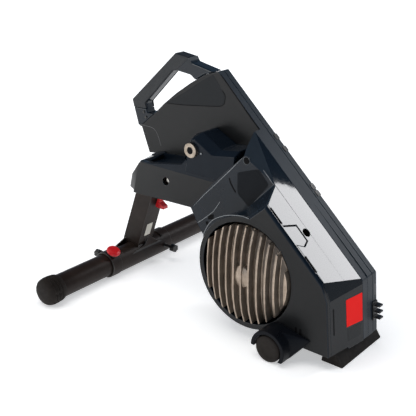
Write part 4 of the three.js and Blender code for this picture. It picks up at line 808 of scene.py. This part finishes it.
# A painted highlight along the seam of the cover's front panel.
front_line = upright(CASE_Y, (-207, 341.5), (-186, 341), (-170, 340), (-159, 334), (-151, 320), (-145, 303))
line("cover_front_line", smooth_path(front_line), pale_strip_and_highlight, width=1.1)

# Painted highlights along the neck's front edge and along its lower edge.
line("neck_front_highlight", upright(NECK_Y, (3, 219), (33, 252), (64, 283), (98, 318), (128, 350)),
     painted_rim_highlight, width=1.3, thick=0.25)
line("neck_low_highlight", smooth_path(upright(NECK_Y, (14, 184), (36, 202), (57, 222), (74, 247))),
     painted_rim_highlight, width=1.3, thick=0.25)
# The neck's groove and two vents, drawn as dark plates of painted shade.
line("neck_groove", smooth_path(upright(NECK_Y, (96, 301.5), (100, 292), (106, 283), (113, 275))),
     painted_groove_shade, width=3.4)
slab("neck_vent_upper", upright(NECK_Y, (42, 210), (57, 214), (57, 203), (42, 199)),
     NEAR_SIDE, painted_groove_shade, thick=0.15, round_by=1.5)
slab("neck_vent_lower", upright(NECK_Y, (36, 193), (43, 195), (43, 187), (36, 186)),
     NEAR_SIDE, painted_groove_shade, thick=0.15, round_by=1.5)
# The neck's hole: a dark disc of painted shade in a ring of the lighter edge finish, a painted highlight on
# its rim.
disc("neck_hole_rim", (137.2, NECK_Y, 346.2), edges["gloss"], radius=8.6, thick=0.12)
disc("neck_hole", (137.8, NECK_Y, 346.2), painted_groove_shade, radius=7.0, thick=0.2)
# Two small screw heads on the arm, drawn only as painted highlight dots.
disc("arm_screw_glint_upper", (24.5, -65.4, 337), painted_rim_highlight, radius=2.0, thick=0.5)
disc("arm_screw_glint_lower", (57, -60, 268.8), painted_rim_highlight, radius=1.8, thick=0.5)
# The axle's bore, drawn as a dark disc of painted shade.
disc("axle_bore_near", (0, -71, 340), painted_groove_shade, radius=7.6, thick=0.10)

# Two slots in the unit's near face, drawn as dark plates of painted shade.
for i, x in enumerate((304.5, 314.5)):
    left, right = x - 2.2, x + 2.2
    slab("unit_slot_%d" % i, upright(UNIT_Y, (left, 69), (right, 69), (right, 50), (left, 49)),
         NEAR_SIDE, painted_groove_shade, thick=0.15, round_by=1.8)
# Painted highlights along the top of the drum's rim and along the fold of the neck.
drum_rim = upright(UNIT_Y, (78, 190), (80, 198), (89, 216), (103, 233), (124, 246), (145, 254),
                   (170, 259), (190, 258.5))
line("drum_rim_highlight", smooth_path(drum_rim), painted_rim_highlight, width=1.2, thick=0.2)
line("neck_fold_highlight", upright(NECK_Y, (178, 336), (192, 322.5), (205, 310.5)),
     painted_rim_highlight, width=1.2, thick=0.3)
# A wall that closes the slit under the belt case, in the tray's navy copy: partly own navy, partly painted
# reflection.
slab("tray_wall", upright(TRAY_Y, (-171, 280), (-153, 289), (-133, 293.5), (-128, 290), (-108, 292.5),
                          (-72, 295), (-72, 276), (-171, 276)), NEAR_SIDE, tray_navy_and_sheen, thick=2.2)
# A darker plate on the neck's near face: painted shade where the neck mirrors something dark.
slab("neck_painted_shade", upright(NECK_Y, (116, 318), (168, 336), (192, 309), (146, 252), (117, 274)),
     NEAR_SIDE, painted_shade_plastic, thick=0.15, round_by=6.0)
# Two slots on the slanted face, drawn as dark plates of painted shade.
for i, (upper, lower) in enumerate((((231.3, 288.9), (258.3, 263.7)), ((311.1, 214.4), (337.4, 189.8)))):
    slab("face_slot_%d" % i, upright(-114.5, upper, lower) + upright(-111.5, lower, upper),
         SLOPE_OUT, painted_groove_shade, thick=0.15, round_by=0.8)

slab("red_patch", [on_label(-69, 128), on_label(-21, 127), on_label(-21, 70), on_label(-69, 73)],
     LABEL_OUT, red_film, thick=0.35, round_by=1.2)
slab("plain_patch", [on_label(-66, 68), on_label(-27, 66), on_label(-27, 42), on_label(-66, 43)],
     LABEL_OUT, patch_and_painted_shade_plastic, thick=0.2, round_by=1.2)
# A slot beside the label, drawn as a dark plate of painted shade.
slab("label_slot", [on_label(-107.2, 123), on_label(-103.8, 123), on_label(-103.8, 70),
                    on_label(-107.2, 70)], LABEL_OUT, painted_groove_shade, thick=0.15, round_by=1.5)
disc("pivot_head", (-76.5, -50.2, 254), finishes["bright_steel"], radius=5.2, thick=2.2)

corners, normal = rear_of("leg_bracket", [(-10, 108), (9, 108), (9, 76), (-10, 76)], start_x=-100)
slab("leg_sticker", corners, normal, pale_film, thick=0.25, round_by=1.0, body="leg")
corners, normal = rear_of("belt_cover_far", [(25.0, 127), (28.5, 127), (28.5, 104), (25.0, 104)],
                          start_x=600)
slab("rear_strip", corners, normal, pale_strip_and_highlight, thick=0.3, round_by=0.8)
for i, x in enumerate((141, 163, 231, 243)):
    left, right = x - 4.5, x + 4.5
    slab("case_clip_%d" % i, [on_slope(left, 24), on_slope(right, 24), on_slope(right, 34.5),
                              on_slope(left, 34.5)], SLOPE_OUT, dark_pin, thick=1.2, round_by=1.2)


# ---------------------------------------------------------------- floor and surroundings

FLOOR_HALF = 30.0       # metres from the middle of the floor to its side
GLOW_UNIT = 6.0         # metres from the middle that count as one for the glow of the floor

paper = Finish("floor_paper")
paper.drive("Base Color", paper.noise(1.3, detail=2.0), (0.905, 0.905, 0.905), (0.92, 0.92, 0.92),
            over=(0.3, 0.7))
paper.drive("Roughness", paper.noise(3.0, detail=2.0), 0.80, 0.90, over=(0.3, 0.7))
distance = paper.tree.nodes.new("ShaderNodeVectorMath")
distance.operation = "LENGTH"
paper.tree.links.new(paper.place, distance.inputs[0])
paper.drive("Emission Color", paper.join("DIVIDE", distance.outputs["Value"], GLOW_UNIT), 0.46, 1.0,
            over=(0.08, 0.36))
paper.fixed(Emission_Strength=1.0)
floor_mesh = bpy.data.meshes.new("floor")
floor_corners = [(x * FLOOR_HALF, y * FLOOR_HALF, 0) for x, y in ((-1, -1), (1, -1), (1, 1), (-1, 1))]
floor_mesh.from_pydata(floor_corners, [], [(0, 1, 2, 3)])
floor_mesh.materials.append(paper.material)
placed("floor", floor_mesh)

world = bpy.data.worlds.new("studio")
bpy.context.scene.world = world
world.use_nodes = True
sky = world.node_tree
background = sky.nodes["Background"]
coords = sky.nodes.new("ShaderNodeTexCoord")
split = sky.nodes.new("ShaderNodeSeparateXYZ")
shades = sky.nodes.new("ShaderNodeValToRGB")
sky.links.new(coords.outputs["Generated"], split.inputs["Vector"])
sky.links.new(split.outputs["Z"], shades.inputs["Fac"])
sky.links.new(shades.outputs["Color"], background.inputs["Color"])
# From the horizon up to the top of the sky.
fill(shades.color_ramp, ((0.0, (0.75, 0.80, 0.86)), (0.12, (0.22, 0.29, 0.38)),
                         (0.35, (0.11, 0.165, 0.24)), (0.75, (0.035, 0.052, 0.078))))
background.inputs["Strength"].default_value = 1.0


# ---------------------------------------------------------------- lights and camera


def aim(thing, place, target):
    """Puts a light or the camera at a place and turns it to the target."""
    thing.location = place
    thing.rotation_mode = "QUATERNION"
    thing.rotation_quaternion = (target - place).to_track_quat("-Z", "Y")


def softbox(name, place, target, size, power, colour, glossy=False):
    """A rectangular light: size in metres, power in watts; glossy says that reflections show it."""
    light = bpy.data.lights.new(name, "AREA")
    light.shape = "RECTANGLE"
    light.size, light.size_y = size
    light.energy = power
    light.color = colour
    holder = placed(name, light)
    aim(holder, place, target)
    holder.visible_camera = False
    holder.visible_glossy = glossy


trainer = at(60, -40, 230)
slanted_face = at(288.4, -62.7, 235.6)
softbox("light_overhead", trainer + Vector((-0.3, -0.4, 2.6)), trainer, size=(2.6, 2.6), power=52.0,
        colour=(1.0, 0.985, 0.96))
softbox("light_front", trainer + Vector((-1.9, -2.2, 1.2)), trainer, size=(1.6, 1.4), power=26.0,
        colour=(1.0, 0.96, 0.90), glossy=True)
# The camera sees this one mirrored in the slanted face of the unit.
softbox("light_mirror", at(1710, 2880, 2140), slanted_face, size=(0.60, 1.06), power=35.0,
        colour=(0.985, 0.985, 1.0), glossy=True)

camera_data = bpy.data.cameras.new("camera")
camera_data.sensor_width = 36.0
camera_data.lens = 71.04
camera_data.clip_start, camera_data.clip_end = 0.05, 100.0
camera = placed("camera", camera_data)
aim(camera, place=at(1033.3, -1262.7, 849.6), target=at(-7.0, -5.0, 193.3))
bpy.context.scene.camera = camera

view = bpy.context.scene.view_settings
view.view_transform = "Standard"
view.look = "None"
view.exposure = 0.0
view.gamma = 1.0
